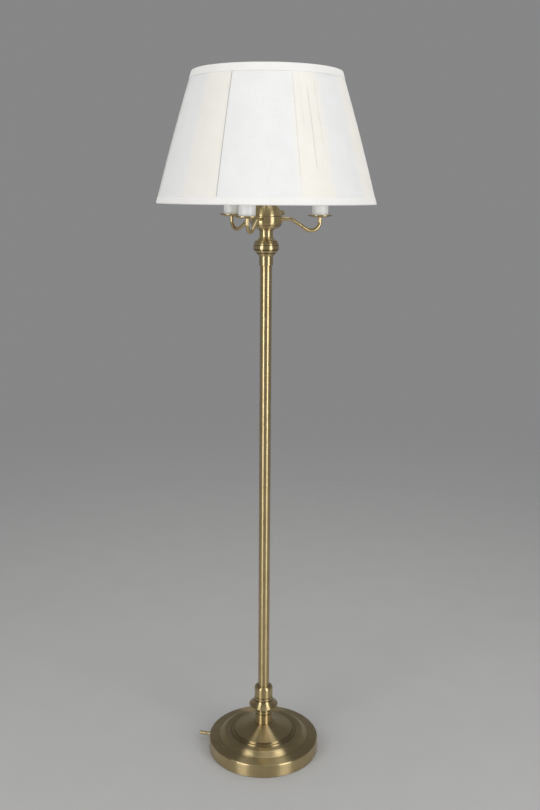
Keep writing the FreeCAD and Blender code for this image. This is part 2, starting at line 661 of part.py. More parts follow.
def base_weight():
    """Cast disc with a boss up to the crown, a pocket for the nut and a bore for the lead."""
    piece = body("base_weight")
    under_crown = f"{CROWN} - base_wall"
    revolve(piece, [
        (HOLE, under_crown),
        ("crown_radius - boss_inset", under_crown),
        ("boss_foot_radius", WEIGHT_TOP),
        (WEIGHT_RADIUS, WEIGHT_TOP),
        (WEIGHT_RADIUS, "felt_thickness"),
        ("pocket_radius", "felt_thickness"),
        ("pocket_radius", "pocket_roof"),
        (HOLE, "pocket_roof"),
    ])
    bore_outward(piece, "outlet_level", NIPPLE_BORE, "0", f"{WEIGHT_RADIUS} + base_wall")
    return place(piece, "outlet_azimuth")


def base_felt():
    """Round felt pad that the lamp stands on."""
    felt = primitive("Cylinder", "base_felt", "0",
                     Radius=f"{WEIGHT_RADIUS} - felt_inset", Height="felt_thickness")
    felt.Label = "base_felt"
    return felt


def base_fasteners():
    """Washer and threaded tube that pull the weight, the cover and the column together."""
    washer = tube("base_washer", "base_washer_radius", HOLE,
                  "pocket_roof - base_washer_thickness", "base_washer_thickness")
    foot = f"({BASE_NUT} - base_nipple_tail)"
    nipple = tube("base_nipple", NIPPLE, NIPPLE_BORE, foot, f"{POLE_FOOT} + stud_reach - {foot}")
    return [washer, nipple]


def tube_nuts():
    """The two hexagon nuts of the threaded tubes, under the weight and on the dome."""
    nuts = [
        hex_nut(name, "nut_across_flats", NIPPLE, level, "nut_height")
        for name, level in (("base_nut", BASE_NUT), ("dome_nut", DOME_TOP))
    ]
    return group("tube_nuts", nuts)


def cord_outlet():
    """Brass outlet for a cord, threaded through the rim, with its round nut."""
    bore = "(lead_diameter / 2 + outlet_cord_clearance)"
    neck_end = f"({RIM} + outlet_neck_length)"
    mouth_start = f"({neck_end} + outlet_flare_length)"
    mouth_end = f"({mouth_start} + outlet_mouth_length)"
    outlet = turned_piece("cord_outlet", [
        (OUTLET_END, bore),
        (OUTLET_END, "outlet_thread_radius"),
        (RIM, "outlet_thread_radius"),
        (RIM, "outlet_neck_radius"),
        (neck_end, "outlet_neck_radius"),
        (mouth_start, "outlet_thread_radius"),
        (f"{mouth_end} - pole_edge", "outlet_thread_radius"),
        (mouth_end, "outlet_thread_radius - pole_edge"),
        (mouth_end, bore),
    ], "H_Axis", azimuth="outlet_azimuth", level="outlet_level")
    nut = turned_piece("cord_outlet_nut", rectangle(
        f"{OUTLET_NUT_FACE} - outlet_nut_thickness", OUTLET_NUT_FACE,
        "outlet_thread_radius", "outlet_nut_radius",
    ), "H_Axis", azimuth="outlet_azimuth", level="outlet_level")
    return [outlet, nut]


def main_lead():
    """Lead from the cord outlet through the weight and up the column to the centre socket."""
    piece = body("main_lead")
    path = [
        (f"{OUTLET_END} - hole_clearance", "outlet_level"),
        ("lead_bend", "outlet_level", "lead_bend", LEFT),
        ("0", "outlet_level + lead_bend"),
        ("0", INTERIOR_FOOT),
    ]
    pipe(piece, path, ["lead_diameter / 2"])
    return place(piece, "outlet_azimuth")


# ------------------------------------------------------------------------------------------
# Column
# ------------------------------------------------------------------------------------------

def lower_neck():
    """Turned neck on the crown, with two turned grooves and a spigot for the flare."""
    wall_face = "(neck_radius - neck_wall)"
    piece = turned_piece("lower_neck", [
        (wall_face, CROWN),
        ("neck_radius", CROWN),
        ("neck_radius", f"{NECK_TOP} - neck_chamfer"),
        ("neck_radius - neck_chamfer", NECK_TOP),
        ("neck_spigot_radius", NECK_TOP),
        ("neck_spigot_radius", f"{FLARE_TOP} - flare_wall"),
        (HOLE, f"{FLARE_TOP} - flare_wall"),
        (HOLE, f"{NECK_TOP} - neck_roof"),
        (wall_face, f"{NECK_TOP} - neck_roof"),
    ])
    first = f"{CROWN} + neck_ring_level"
    turned_line(piece, "neck_radius", first, "turned_groove_depth")
    turned_line(piece, "neck_radius", f"{first} + neck_ring_pitch", "turned_groove_depth")
    return piece


def flare_collar():
    """Flared skirt under the foot collar."""
    outer = [
        (HOLE, FLARE_TOP),
        (FOOT_COLLAR, FLARE_TOP, "flare_round", RIGHT),
        (f"{FOOT_COLLAR} + flare_reach", f"{FLARE_FOOT} + flare_edge"),
        (f"{FOOT_COLLAR} + flare_reach", FLARE_FOOT),
    ]
    return turned_piece("flare_collar", spun(outer, "flare_wall", "-"))


def foot_collar():
    """Turned collar that the pole stands in, with a bead at its foot."""
    top = f"({FLARE_TOP} + foot_collar_height)"
    bore = f"({POLE} + pole_fit)"
    piece = turned_piece("foot_collar", [
        (HOLE, FLARE_TOP),
        (FOOT_COLLAR, FLARE_TOP),
        (FOOT_COLLAR, f"{top} - foot_collar_round", "foot_collar_round", RIGHT),
        (f"{FOOT_COLLAR} - foot_collar_round", top),
        (bore, top),
        (bore, POLE_FOOT),
        (HOLE, POLE_FOOT),
    ])
    turned_line(piece, FOOT_COLLAR, FLARE_TOP, "turned_groove_depth")
    turned_line(piece, FOOT_COLLAR, f"{FLARE_TOP} + foot_bead_height", "turned_groove_depth")
    return piece


def pole_tube(name, foot, top):
    """One tube of the pole, with chamfered ends."""
    return turned_piece(name, [
        (POLE_BORE, foot),
        (f"{POLE} - pole_edge", foot),
        (POLE, f"{foot} + pole_edge"),
        (POLE, f"{top} - pole_edge"),
        (f"{POLE} - pole_edge", top),
        (POLE_BORE, top),
    ])


def pole_fittings():
    """Threaded bushes in the ends of both tubes, and the stud that joins the tubes."""
    feet = [POLE_FOOT, f"{POLE_JOINT} - bush_length", POLE_JOINT, f"{POLE_TOP} - bush_length"]
    bushes = [
        tube(f"pole_bush_{index}", POLE_BORE, NIPPLE, foot, "bush_length")
        for index, foot in enumerate(feet, 1)
    ]
    stud = tube("pole_stud", NIPPLE, NIPPLE_BORE, f"{POLE_JOINT} - stud_reach", "2 * stud_reach")
    return [group("pole_bushes", bushes), stud]


def top_collar():
    """Collar round the head of the pole."""
    foot = f"({POLE_TOP} - top_collar_lap)"
    bore = f"({POLE} + pole_fit)"
    return turned_piece("top_collar", [
        (bore, foot),
        (f"{TOP_COLLAR} - top_collar_round", foot, "top_collar_round", RIGHT),
        (TOP_COLLAR, f"{foot} + top_collar_round"),
        (TOP_COLLAR, KNUCKLE_FOOT),
        (HOLE, KNUCKLE_FOOT),
        (HOLE, POLE_TOP),
        (bore, POLE_TOP),
    ])


def knuckle_halves():
    """Hollow turned ball in two halves, with turned lines at its joint and on both sides of it."""
    lower = turned_piece("knuckle_lower", spun([
        (HOLE, KNUCKLE_FOOT),
        ("knuckle_foot_radius", KNUCKLE_FOOT),
        ("knuckle_rim_radius", f"{KNUCKLE_JOINT} - knuckle_rim"),
        ("knuckle_rim_radius", KNUCKLE_JOINT),
    ], "knuckle_wall", "+"))
    shoulder = f"({KNUCKLE_JOINT} + knuckle_shoulder_rise)"
    widest = f"({KNUCKLE_JOINT} + knuckle_widest_rise)"
    inset = "(knuckle_shoulder_radius - knuckle_shoulder_round)"
    upper = turned_piece("knuckle_upper", spun([
        (HOLE, STEM_FOOT),
        ("stem_radius + stem_flare", STEM_FOOT, "stem_flare_round", RIGHT),
        (inset, f"{shoulder} + knuckle_shoulder_round", "knuckle_shoulder_round", LEFT),
        ("knuckle_shoulder_radius", shoulder, "knuckle_side_round", LEFT),
        ("knuckle_widest_radius", widest, "knuckle_side_round", LEFT),
        ("knuckle_upper_rim_radius", f"{KNUCKLE_JOINT} + knuckle_rim"),
        ("knuckle_upper_rim_radius", KNUCKLE_JOINT),
    ], "knuckle_wall", "-"))
    turned_line(lower, "knuckle_rim_radius", KNUCKLE_JOINT)
    turned_line(lower, "(knuckle_foot_radius + knuckle_rim_radius) / 2",
                f"({KNUCKLE_FOOT} + {KNUCKLE_JOINT} - knuckle_rim) / 2")
    turned_line(upper, "knuckle_shoulder_radius", shoulder)
    turned_line(upper, "knuckle_widest_radius - knuckle_line_inset",
                f"{KNUCKLE_JOINT} + knuckle_line_rise")
    return [lower, upper]


def cluster_stem():
    """Short turned stem between the ball and the body."""
    foot_radius = "(stem_radius + stem_flare)"
    return turned_piece("cluster_stem", [
        (HOLE, STEM_FOOT),
        (foot_radius, STEM_FOOT, "stem_flare_round", LEFT),
        ("stem_radius", f"{STEM_FOOT} + stem_flare_rise"),
        ("stem_radius", f"{CLUSTER_FOOT} - stem_head_rise"),
        ("stem_radius + stem_head_flare", CLUSTER_FOOT),
        (HOLE, CLUSTER_FOOT),
    ])


# ------------------------------------------------------------------------------------------
# Cluster
# ------------------------------------------------------------------------------------------

def cluster_body():
    """Bowl that the arms leave, with a turned line and a hole for each arm."""
    ledge = "(cluster_step_radius + cluster_step_ledge)"
    piece = body("cluster_body")
    revolve(piece, spun([
        (HOLE, CLUSTER_FOOT),
        ("cluster_step_radius", CLUSTER_FOOT),
        ("cluster_step_radius", f"{CLUSTER_FOOT} + cluster_step_height"),
        (ledge, f"{CLUSTER_FOOT} + cluster_step_height", "cluster_bowl_round", RIGHT),
        ("cluster_radius", f"{CLUSTER_FOOT} + cluster_bowl_height"),
        ("cluster_radius", f"{DOME_FOOT} - cluster_edge"),
        ("cluster_radius - cluster_edge", DOME_FOOT),
    ], "cluster_wall", "+"))
    turned_line(piece, "cluster_radius - cluster_line_inset",
                f"{CLUSTER_FOOT} + cluster_line_rise")
    hole = bore_outward(piece, ARM_LEVEL, f"{ARM} + close_clearance",
                        "cluster_radius - 2 * cluster_wall", "cluster_radius + cluster_wall")
    around(piece, hole, "arm_count")
    return place(piece, "arm_azimuth")


def cluster_dome():
    """Spun dome on the body, with a turned line and a hole for the candle switch."""
    piece = body("cluster_dome")
    revolve(piece, spun([
        (HOLE, DOME_TOP),
        ("dome_top_radius", DOME_TOP, "dome_shoulder_round", LEFT),
        ("dome_shoulder_radius", f"{DOME_TOP} - dome_shoulder_drop", "dome_side_round", LEFT),
        ("dome_radius", f"{DOME_FOOT} + dome_skirt"),
        ("dome_radius", DOME_FOOT),
    ], "dome_wall", "-"))
    turned_line(piece, "dome_radius - dome_line_inset", f"{DOME_FOOT} + dome_line_rise")
    bore_outward(piece, SWITCH_LEVEL, "switch_bush_radius + close_clearance",
                 "dome_top_radius", "dome_radius + dome_wall")
    return place(piece, "switch_azimuth")


def cluster_nipple():
    """Threaded tube from the head of the pole up to the centre socket."""
    foot = f"({POLE_TOP} - stud_reach)"
    return tube("cluster_nipple", NIPPLE, NIPPLE_BORE, foot,
                f"{CAP_FOOT} + cap_hub_height - {foot}")


def arm_path(root, top):
    """Centre line of an arm, with heights from its root: level, down, and round the bowl up to
    the candle."""
    bend_start = "(cluster_radius + arm_straight)"
    slope_start = f"({bend_start} + arm_shoulder_bend * sin(arm_fall))"
    slope_start_z = "(arm_shoulder_bend * (cos(arm_fall) - 1))"
    bowl_start = "(arm_reach - arm_bowl_bend * (1 + sin(arm_fall)))"
    bowl_start_z = f"({slope_start_z} - tan(arm_fall) * ({bowl_start} - {slope_start}))"
    bowl_end_z = f"({bowl_start_z} + arm_bowl_bend * cos(arm_fall))"
    return [
        (root, "0"),
        (bend_start, "0", "arm_shoulder_bend", LEFT),
        (slope_start, slope_start_z),
        (bowl_start, bowl_start_z, "arm_bowl_bend", RIGHT),
        ("arm_reach", bowl_end_z),
        ("arm_reach", f"{top} - {ARM_LEVEL}"),
    ]


def at_arm(index):
    """Where an arm leaves the body."""
    return {"azimuth": f"arm_azimuth + {index} * 360 / arm_count", "level": ARM_LEVEL}


def candle_arm(index):
    """Bent tube with a brazed collar against the body."""
    piece = body(f"candle_arm_{index + 1}")
    revolve(piece, rectangle(
        "cluster_radius", "cluster_radius + arm_collar_length", ARM_BORE,
        f"{ARM} + arm_collar_wall"), "H_Axis")
    pipe(piece, arm_path(ARM_ROOT, f"{CUP_FLOOR} + arm_grip"), [ARM, ARM_BORE])
    return place(piece, **at_arm(index))


def arm_nuts():
    """Hex nuts on the arms' roots, inside the body."""
    piece = body("arm_nuts")
    face = "(cluster_radius - cluster_wall - arm_nut_gap)"
    sketch = sketch_on(piece, "YZ_Plane", f"{face} - arm_nut_thickness")
    half = "(arm_nut_across_flats / 2)"
    corners = []
    for step in range(6):
        angle = f"{30 + 60 * step}"
        corners.append((f"{half} / cos(30) * cos({angle})",
                        f"{ARM_LEVEL} + {half} / cos(30) * sin({angle})"))
    draw(sketch, corners)
    draw_circle(sketch, "0", ARM_LEVEL, ARM)
    around(piece, pad(piece, sketch, "arm_nut_thickness"), "arm_count")
    return place(piece, "arm_azimuth")


# ------------------------------------------------------------------------------------------
# Candles
# ------------------------------------------------------------------------------------------

def at_candle(index):
    """Where a candle stands."""
    return {"azimuth": f"arm_azimuth + {index} * 360 / arm_count", "reach": "arm_reach"}


def drip_cup(index):
    """Thin brass dish under a candle."""
    return turned_piece(f"drip_cup_{index + 1}", spun([
        (f"{ARM} + close_clearance", CUP_FOOT),
        ("cup_floor_radius", CUP_FOOT, "cup_round", RIGHT),
        ("cup_radius", f"{CUP_FOOT} + cup_depth"),
        ("cup_radius", f"{CUP_FOOT} + cup_depth + cup_rim"),
    ], "cup_wall", "+"), **at_candle(index))


def candle_sleeve(index):
    """White sleeve that slips over a candle socket."""
    return turned_piece(f"candle_sleeve_{index + 1}", rectangle(
        f"{SLEEVE} - sleeve_wall", SLEEVE, f"{CUP_FLOOR} + sleeve_lift",
        f"{CUP_FLOOR} + sleeve_lift + sleeve_length"), **at_candle(index))


def candle_socket(index):
    """Moulded socket on the pillar."""
    top = f"({PILLAR_TOP} + socket_length)"
    return turned_piece(f"candle_socket_{index + 1}", [
        ("0", PILLAR_TOP),
        (SOCKET, PILLAR_TOP),
        (SOCKET, top),
        (SCREW, top),
        (SCREW, SOCKET_FLOOR),
        ("0", SOCKET_FLOOR),
    ], **at_candle(index))


def candle_pillars():
    """Pillars that clamp the cups on the arms and carry the sockets."""
    pillars = [
        turned_piece(f"pillar_{index + 1}", [
            (ARM, CUP_FLOOR),
            (f"{ARM} + pillar_wall", CUP_FLOOR),
            (f"{ARM} + pillar_wall", PILLAR_TOP),
            (ARM_BORE, PILLAR_TOP),
            (ARM_BORE, f"{CUP_FLOOR} + arm_grip"),
            (ARM, f"{CUP_FLOOR} + arm_grip"),
        ], **at_candle(index))
        for index in ARMS
    ]
    return group("candle_pillars", pillars)


def screw_shells():
    """Threaded brass shells of the candle sockets and the centre socket."""
    foot = f"{SOCKET_FLOOR} + screw_lift"
    shells = [
        turned_piece(f"screw_shell_{index + 1}", rectangle(
            "screw_bore_radius", SCREW, foot, f"{foot} + screw_length"), **at_candle(index))
        for index in ARMS
    ]
    centre = tube("screw_shell_centre", SCREW, "screw_bore_radius",
                  f"{INTERIOR_TOP} + screw_lift", "screw_length")
    return group("screw_shells", shells + [centre])


def socket_contacts():
    """Centre contacts of the four sockets."""
    def contact(name, foot, **where):
        return turned_piece(name, [
            ("0", foot),
            ("contact_radius", foot),
            ("contact_radius", f"{foot} + contact_height / 2"),
            ("contact_radius / 2", f"{foot} + contact_height"),
            ("0", f"{foot} + contact_height"),
        ], **where)
    contacts = [
        contact(f"contact_{index + 1}", SOCKET_FLOOR, **at_candle(index)) for index in ARMS
    ]
    return group("socket_contacts", contacts + [contact("contact_centre", INTERIOR_TOP)])


def arm_leads():
    """Leads through the arms to the candle sockets."""
    leads = []
    for index in ARMS:
        piece = body(f"arm_lead_{index + 1}")
        pipe(piece, arm_path(f"{ARM_ROOT} - lead_clearance", PILLAR_TOP),
             ["arm_lead_diameter / 2"])
        leads.append(place(piece, **at_arm(index)))
    return group("arm_leads", leads)


# ------------------------------------------------------------------------------------------
# Turn knobs
# ------------------------------------------------------------------------------------------

def fluted_knob(name, shaft_end, knob_start, length, radius, azimuth, level):
    """Shaft and fluted knob that turn about a level axis."""
    knob_end = f"({knob_start} + {length})"
    piece = body(name)
    revolve(piece, [
        (shaft_end, "0"),
        (shaft_end, "shaft_radius"),
        (knob_start, "shaft_radius"),
        (knob_start, radius),
        (f"{knob_end} - knob_round", radius, "knob_round", LEFT),
        (knob_end, f"{radius} - knob_round"),
        (knob_end, "0"),
    ], "H_Axis")
    sketch = sketch_on(piece, "YZ_Plane", f"{knob_start} + knob_round")
    draw_circle(sketch, "0", radius, "flute_radius")
    flute = piece.newObject("PartDesign::Pocket", f"{name}_flute")
    flute.Profile = sketch
    flute.Reversed = True
    flute.setExpression("Length", sized(length))
    around(piece, flute, "flute_count", "X_Axis")
    return place(piece, azimuth, level=level)


def candle_switch():
    """Rotary switch for the candles: body with its threaded bush, nut outside, and knob."""
    front = "(switch_root + switch_length)"
    switch = turned_piece("candle_switch", [
        ("switch_root", "0"),
        ("switch_root", "switch_radius"),
        (front, "switch_radius"),
        (front, "switch_bush_radius"),
        (SWITCH_BUSH_END, "switch_bush_radius"),
        (SWITCH_BUSH_END, SHAFT_BORE),
        ("switch_root + switch_back_wall", SHAFT_BORE),
        ("switch_root + switch_back_wall", "0"),
    ], "H_Axis", azimuth="switch_azimuth", level=SWITCH_LEVEL)
    nut = turned_piece("candle_switch_nut", rectangle(
        f"{SWITCH_BUSH_END} - switch_nut_thickness", SWITCH_BUSH_END,
        "switch_bush_radius", "switch_nut_radius",
    ), "H_Axis", azimuth="switch_azimuth", level=SWITCH_LEVEL)
    knob = fluted_knob("candle_switch_knob", "switch_root + switch_back_wall + knob_gap", SWITCH_KNOB,
                       "switch_knob_length", "switch_knob_radius", "switch_azimuth",
                       SWITCH_LEVEL)
    return [switch, nut, knob]


# ------------------------------------------------------------------------------------------
# Centre socket
# ------------------------------------------------------------------------------------------

def socket_cap():
    """Brass cap, threaded on the tube, that holds the socket's shell."""
    inner = f"({CAP_RADIUS} - cap_wall)"
    bell_foot = f"({CAP_FOOT} + cap_hub_height - cap_wall)"
    return turned_piece("socket_cap", [
        (NIPPLE, CAP_FOOT),
        ("cap_hub_radius", CAP_FOOT),
        ("cap_hub_radius", bell_foot, "cap_bell_round", RIGHT),
        (CAP_RADIUS, f"{SHELL_FOOT} - cap_wall"),
        (CAP_RADIUS, CAP_TOP),
        (inner, CAP_TOP),
        (inner, f"{SHELL_FOOT} - cap_wall", "cap_bell_round", LEFT),
        ("cap_hub_radius", f"{bell_foot} + cap_wall"),
        (NIPPLE, f"{bell_foot} + cap_wall"),
    ])


def socket_interior():
    """Moulded switch body that carries the contact and the screw shell."""
    piece = body("socket_interior")
    revolve(piece, [
        ("0", INTERIOR_FOOT),
        ("cap_hub_radius", INTERIOR_FOOT),
        (INTERIOR, f"{INTERIOR_FOOT} + cap_bell_height"),
        (INTERIOR, f"{INTERIOR_TOP} + screw_lift"),
        ("contact_well_radius", f"{INTERIOR_TOP} + screw_lift"),
        ("contact_well_radius", INTERIOR_TOP),
        ("0", INTERIOR_TOP),
    ])
    inner = "(shell_radius - key_shaft_depth - knob_gap)"
    bore_outward(piece, KEY_LEVEL, SHAFT_BORE, inner, "shell_radius + knob_gap")
    return place(piece, "key_azimuth")


def key_slot(piece, foot):
    """Slot for the key's shaft, open at the lower edge."""
    sketch = sketch_on(piece, "YZ_Plane")
    half = "(shaft_radius + key_slot_clearance)"
    draw(sketch, rectangle(f"0 - {half}", half, f"{foot} - cap_wall", f"{KEY_LEVEL} + {half}"))
    slot = piece.newObject("PartDesign::Pocket", f"{piece.Name}_slot")
    slot.Profile = sketch
    slot.Reversed = True
    slot.setExpression("Length", sized("shell_radius + cap_wall"))
    return place(piece, "key_azimuth")


def socket_sleeves():
    """Insulating liner and brass shell, both slotted for the key."""
    pieces = []
    for name, radius, wall in (
            ("socket_liner", LINER, "liner_wall"), ("socket_shell", "shell_radius", "shell_wall")):
        piece = body(name)
        revolve(piece, rectangle(
            f"{radius} - {wall}", radius, SHELL_FOOT, f"{SHELL_FOOT} + shell_length"))
        pieces.append(key_slot(piece, SHELL_FOOT))
    return pieces


def socket_key():
    """Turn knob of the centre socket."""
    return fluted_knob("socket_key", "shell_radius - key_shaft_depth", KEY_KNOB,
                       "key_knob_length", "key_knob_radius", "key_azimuth", KEY_LEVEL)


# ------------------------------------------------------------------------------------------
# Harp and finial
# ------------------------------------------------------------------------------------------

HARP_FOOT = f"({SADDLE} + saddle_tab_height)"
HARP_CROWN = f"({SEAT} - seat_height / 2)"


def harp_saddle():
    """Flat bar under the socket with upturned ends."""
    piece = body("harp_saddle")
    half_length = "(harp_foot_half_span + saddle_thickness / 2)"
    bar = sketch_on(piece, "XY_Plane", SADDLE)
    draw(bar, rectangle(f"0 - {half_length}", half_length,
                        "0 - saddle_width / 2", "saddle_width / 2"))
    draw_circle(bar, "0", "0", HOLE)
    pad(piece, bar, "saddle_thickness")
    tabs = sketch_on(piece, "XY_Plane", SADDLE)
    for side in ("-", "+"):
        middle = f"0 {side} harp_foot_half_span"
        draw(tabs, rectangle(
            f"{middle} - saddle_thickness / 2", f"{middle} + saddle_thickness / 2",
            "0 - saddle_tab_width / 2", "saddle_tab_width / 2"))
    pad(piece, tabs, "saddle_tab_height")
    return place(piece, "harp_azimuth")


def harp_path():
    """Centre line of one leg of the harp, from inside the seat down to the saddle."""
    spread = "(harp_half_width - harp_foot_half_span)"
    flare = f"({spread} / 2 / (1 - cos(harp_flare_angle)))"
    foot_top = f"({HARP_FOOT} + harp_foot_rise)"
    half_flare = f"({flare} * sin(harp_flare_angle))"
    return [
        ("seat_radius / 2", HARP_CROWN),
        ("harp_half_width - harp_top_bend", HARP_CROWN, "harp_top_bend", LEFT),
        ("harp_half_width", f"{HARP_CROWN} - harp_top_bend"),
        ("harp_half_width", f"{foot_top} + 2 * {half_flare}", flare, LEFT),
        (f"harp_half_width - {spread} / 2", f"{foot_top} + {half_flare}", flare, RIGHT),
        ("harp_foot_half_span", foot_top),
        ("harp_foot_half_span", HARP_FOOT),
    ]


def harp():
    """Bent wire hoop with a round seat and a threaded stud."""
    piece = body("harp")
    revolve(piece, [
        ("0", f"{SEAT} - seat_height"),
        ("seat_radius", f"{SEAT} - seat_height"),
        ("seat_radius", SEAT),
        ("stud_radius", SEAT),
        ("stud_radius", f"{SEAT} + stud_height"),
        ("0", f"{SEAT} + stud_height"),
    ])
    around(piece, pipe(piece, harp_path(), ["harp_wire / 2"]), "2")
    return place(piece, "harp_azimuth")


def harp_sleeves():
    """Sleeves that lock the harp on the saddle's ends."""
    inner = "(harp_wire / 2 + harp_sleeve_fit)"
    level = f"({SADDLE} + saddle_thickness + running_gap)"
    sleeves = [
        turned_piece(f"harp_sleeve_{index + 1}", rectangle(
            inner, f"{inner} + harp_sleeve_wall", level, f"{level} + harp_sleeve_length",
        ), azimuth=f"harp_azimuth + {180 * index}", reach="harp_foot_half_span")
        for index in range(2)
    ]
    return group("harp_sleeves", sleeves)


def finial():
    """Turned nut that holds the shade on the harp's stud."""
    bore = "(stud_radius + finial_thread_fit)"
    waist = f"({FINIAL} + finial_waist_rise)"
    top = f"({FINIAL} + finial_height)"
    ball = f"({top} - finial_ball_radius)"
    thread_end = f"({SEAT} + stud_height + running_gap)"
    return turned_piece("finial", [
        (bore, FINIAL),
        ("finial_foot_radius", FINIAL),
        ("finial_foot_radius", f"{FINIAL} + finial_foot_height"),
        ("finial_waist_radius", waist),
        ("finial_ball_radius", ball, "finial_ball_radius", RIGHT),
        ("0", top),
        ("0", thread_end),
        (bore, thread_end),
    ])


# ------------------------------------------------------------------------------------------
# Shade
# ------------------------------------------------------------------------------------------

def shade_washer():
    """Washer that turns on the harp's stud."""
    return turned_piece("shade_washer", rectangle(
        "stud_radius + washer_fit", "washer_radius", WASHER, f"{WASHER} + washer_thickness"))


def shade_fitter():
    """Spider arms that stand on the washer, and the top ring, brazed together."""
    piece = body("shade_fitter")
    arm_level = f"({WASHER} + washer_thickness + spider_wire / 2)"
    spider = pipe(piece, [
        ("spider_root", arm_level),
        ("spider_flat", arm_level),
        (TOP_RING, FRAME_TOP),
    ], ["spider_wire / 2"])
    around(piece, spider, "spider_arms")
    ring = sketch_on(piece, "XZ_Plane")
    draw_circle(ring, TOP_RING, FRAME_TOP, "ring_wire / 2")
    hoop = piece.newObject("PartDesign::Revolution", "shade_top_ring")
    hoop.Profile = ring
    hoop.ReferenceAxis = (ring, ["V_Axis"])
    hoop.Angle = 360
    return place(piece, "spider_azimuth")


def shade_bottom_ring():
    """Wire ring at the foot of the shade."""
    ring = doc.addObject("Part::Torus", "shade_bottom_ring")
    ring.Label = "shade_bottom_ring"
    ring.setExpression("Radius1", sized(FOOT_RING))
    ring.setExpression("Radius2", sized("ring_wire / 2"))
    ring.setExpression("Placement.Base.z", sized(FRAME_FOOT))
    return ring


def shade_ribs():
    """Straight wires between the two rings."""
    piece = body("shade_ribs")
    foot = sketch_on(piece, "XY_Plane", f"{FRAME_FOOT} + ring_wire / 2")
    draw_circle(foot, FOOT_RING, "0", "rib_wire / 2")
    head = sketch_on(piece, "XY_Plane", f"{FRAME_TOP} - ring_wire / 2")
    draw_circle(head, TOP_RING, "0", "rib_wire / 2")
    rib = piece.newObject("PartDesign::AdditiveLoft", "shade_rib")
    rib.Profile = foot
    rib.Sections = [head]
    around(piece, rib, "rib_count")
    return place(piece, "rib_azimuth")


def shade_cloth(name, inside, thickness, foot, head):
    """A cone of cloth between two levels, a fixed distance outside the rings' centres."""
    def radius(level, outward):
        return f"({FOOT_RING} + {outward} - ({level} - {FRAME_FOOT}) * {SLOPE})"

    outside = f"({inside} + {thickness})"
    return turned_piece(name, [
        (radius(foot, inside), foot),
        (radius(foot, outside), foot),
        (radius(head, outside), head),
        (radius(head, inside), head),
    ])


def shade_pieces():
    """Cover, lining and the two trim bands."""
    cover_inside = "(ring_wire / 2 + cloth_gap)"
    cover_foot = f"({SHADE_FOOT} + trim_thickness)"
    cover_top = f"({SHADE_TOP} - trim_thickness)"
    trim_inside = f"({cover_inside} + cover_thickness + cloth_gap)"
    lining_inside = "(0 - ring_wire / 2 - cloth_gap - lining_thickness)"
    return [
        shade_cloth("shade_cover", cover_inside, "cover_thickness", cover_foot, cover_top),
        shade_cloth("shade_lining", lining_inside, "lining_thickness", cover_foot,
                    f"({cover_top} - lining_drop)"),
        shade_cloth("shade_lower_trim", trim_inside, "trim_thickness", SHADE_FOOT,
                    f"({SHADE_FOOT} + lower_trim_height)"),
        shade_cloth("shade_upper_trim", trim_inside, "trim_thickness",
                    f"({SHADE_TOP} - upper_trim_height)", SHADE_TOP),
    ]


# ------------------------------------------------------------------------------------------
# The lamp
# ------------------------------------------------------------------------------------------

pieces = [
    base_shell(),
    base_weight(),
    base_felt(),
    *base_fasteners(),
    *cord_outlet(),
    main_lead(),
    lower_neck(),
    flare_collar(),
    foot_collar(),
    pole_tube("lower_pole", POLE_FOOT, POLE_JOINT),
    pole_tube("upper_pole", POLE_JOINT, POLE_TOP),
    *pole_fittings(),
    top_collar(),
    *knuckle_halves(),
    cluster_stem(),
    cluster_body(),
    cluster_dome(),
    cluster_nipple(),
    tube_nuts(),
    *[candle_arm(index) for index in ARMS],
    arm_nuts(),
    arm_leads(),
    *[drip_cup(index) for index in ARMS],
    candle_pillars(),
    *[candle_sleeve(index) for index in ARMS],
    *[candle_socket(index) for index in ARMS],
    screw_shells(),
    socket_contacts(),
    *candle_switch(),
    harp_saddle(),
    socket_cap(),
    socket_interior(),
    *socket_sleeves(),
    socket_key(),
    harp(),
    harp_sleeves(),
    finial(),
    shade_washer(),
    shade_fitter(),
    shade_bottom_ring(),
    shade_ribs(),
    *shade_pieces(),
]
doc.recompute()

for item in doc.Objects:
    if "Invalid" in item.State or "Error" in item.State:
        raise RuntimeError(f"{item.Label} failed: {item.State}")
for piece in pieces:
    if piece.Shape.isNull() or not piece.Shape.isValid():
        raise RuntimeError(f"{piece.Label} has no valid shape")

os.makedirs("parts", exist_ok=True)
for piece in pieces:
    piece.Shape.exportStep(f"parts/{piece.Label}.step")
    box = piece.Shape.BoundBox
    print(f"{piece.Label}: {len(piece.Shape.Solids)} solids, {piece.Shape.Volume:.0f} mm3, "
          f"x {box.XMin:.1f} to {box.XMax:.1f}, z {box.ZMin:.1f} to {box.ZMax:.1f}")
print(f"{len(pieces)} nodes")
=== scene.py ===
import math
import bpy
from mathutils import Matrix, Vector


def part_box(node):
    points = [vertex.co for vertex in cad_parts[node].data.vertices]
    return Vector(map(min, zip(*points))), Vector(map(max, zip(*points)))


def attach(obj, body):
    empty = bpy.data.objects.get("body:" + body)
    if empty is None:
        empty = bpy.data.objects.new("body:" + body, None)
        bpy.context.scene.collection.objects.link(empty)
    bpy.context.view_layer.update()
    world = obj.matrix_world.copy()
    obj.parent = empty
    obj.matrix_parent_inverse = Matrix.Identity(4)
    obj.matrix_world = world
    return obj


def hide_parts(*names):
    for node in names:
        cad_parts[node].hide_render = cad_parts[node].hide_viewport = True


bl_info = {
    "name": "Candlestick floor lamp",
    "version": (1, 0, 0),
    "blender": (4, 5, 0),
    "location": "3D View > Sidebar > Floor lamp",
    "description": "Cloth, finishes and studio for a turned brass floor lamp",
    "category": "Object",
}

import bpy
from mathutils import Euler, Vector, noise

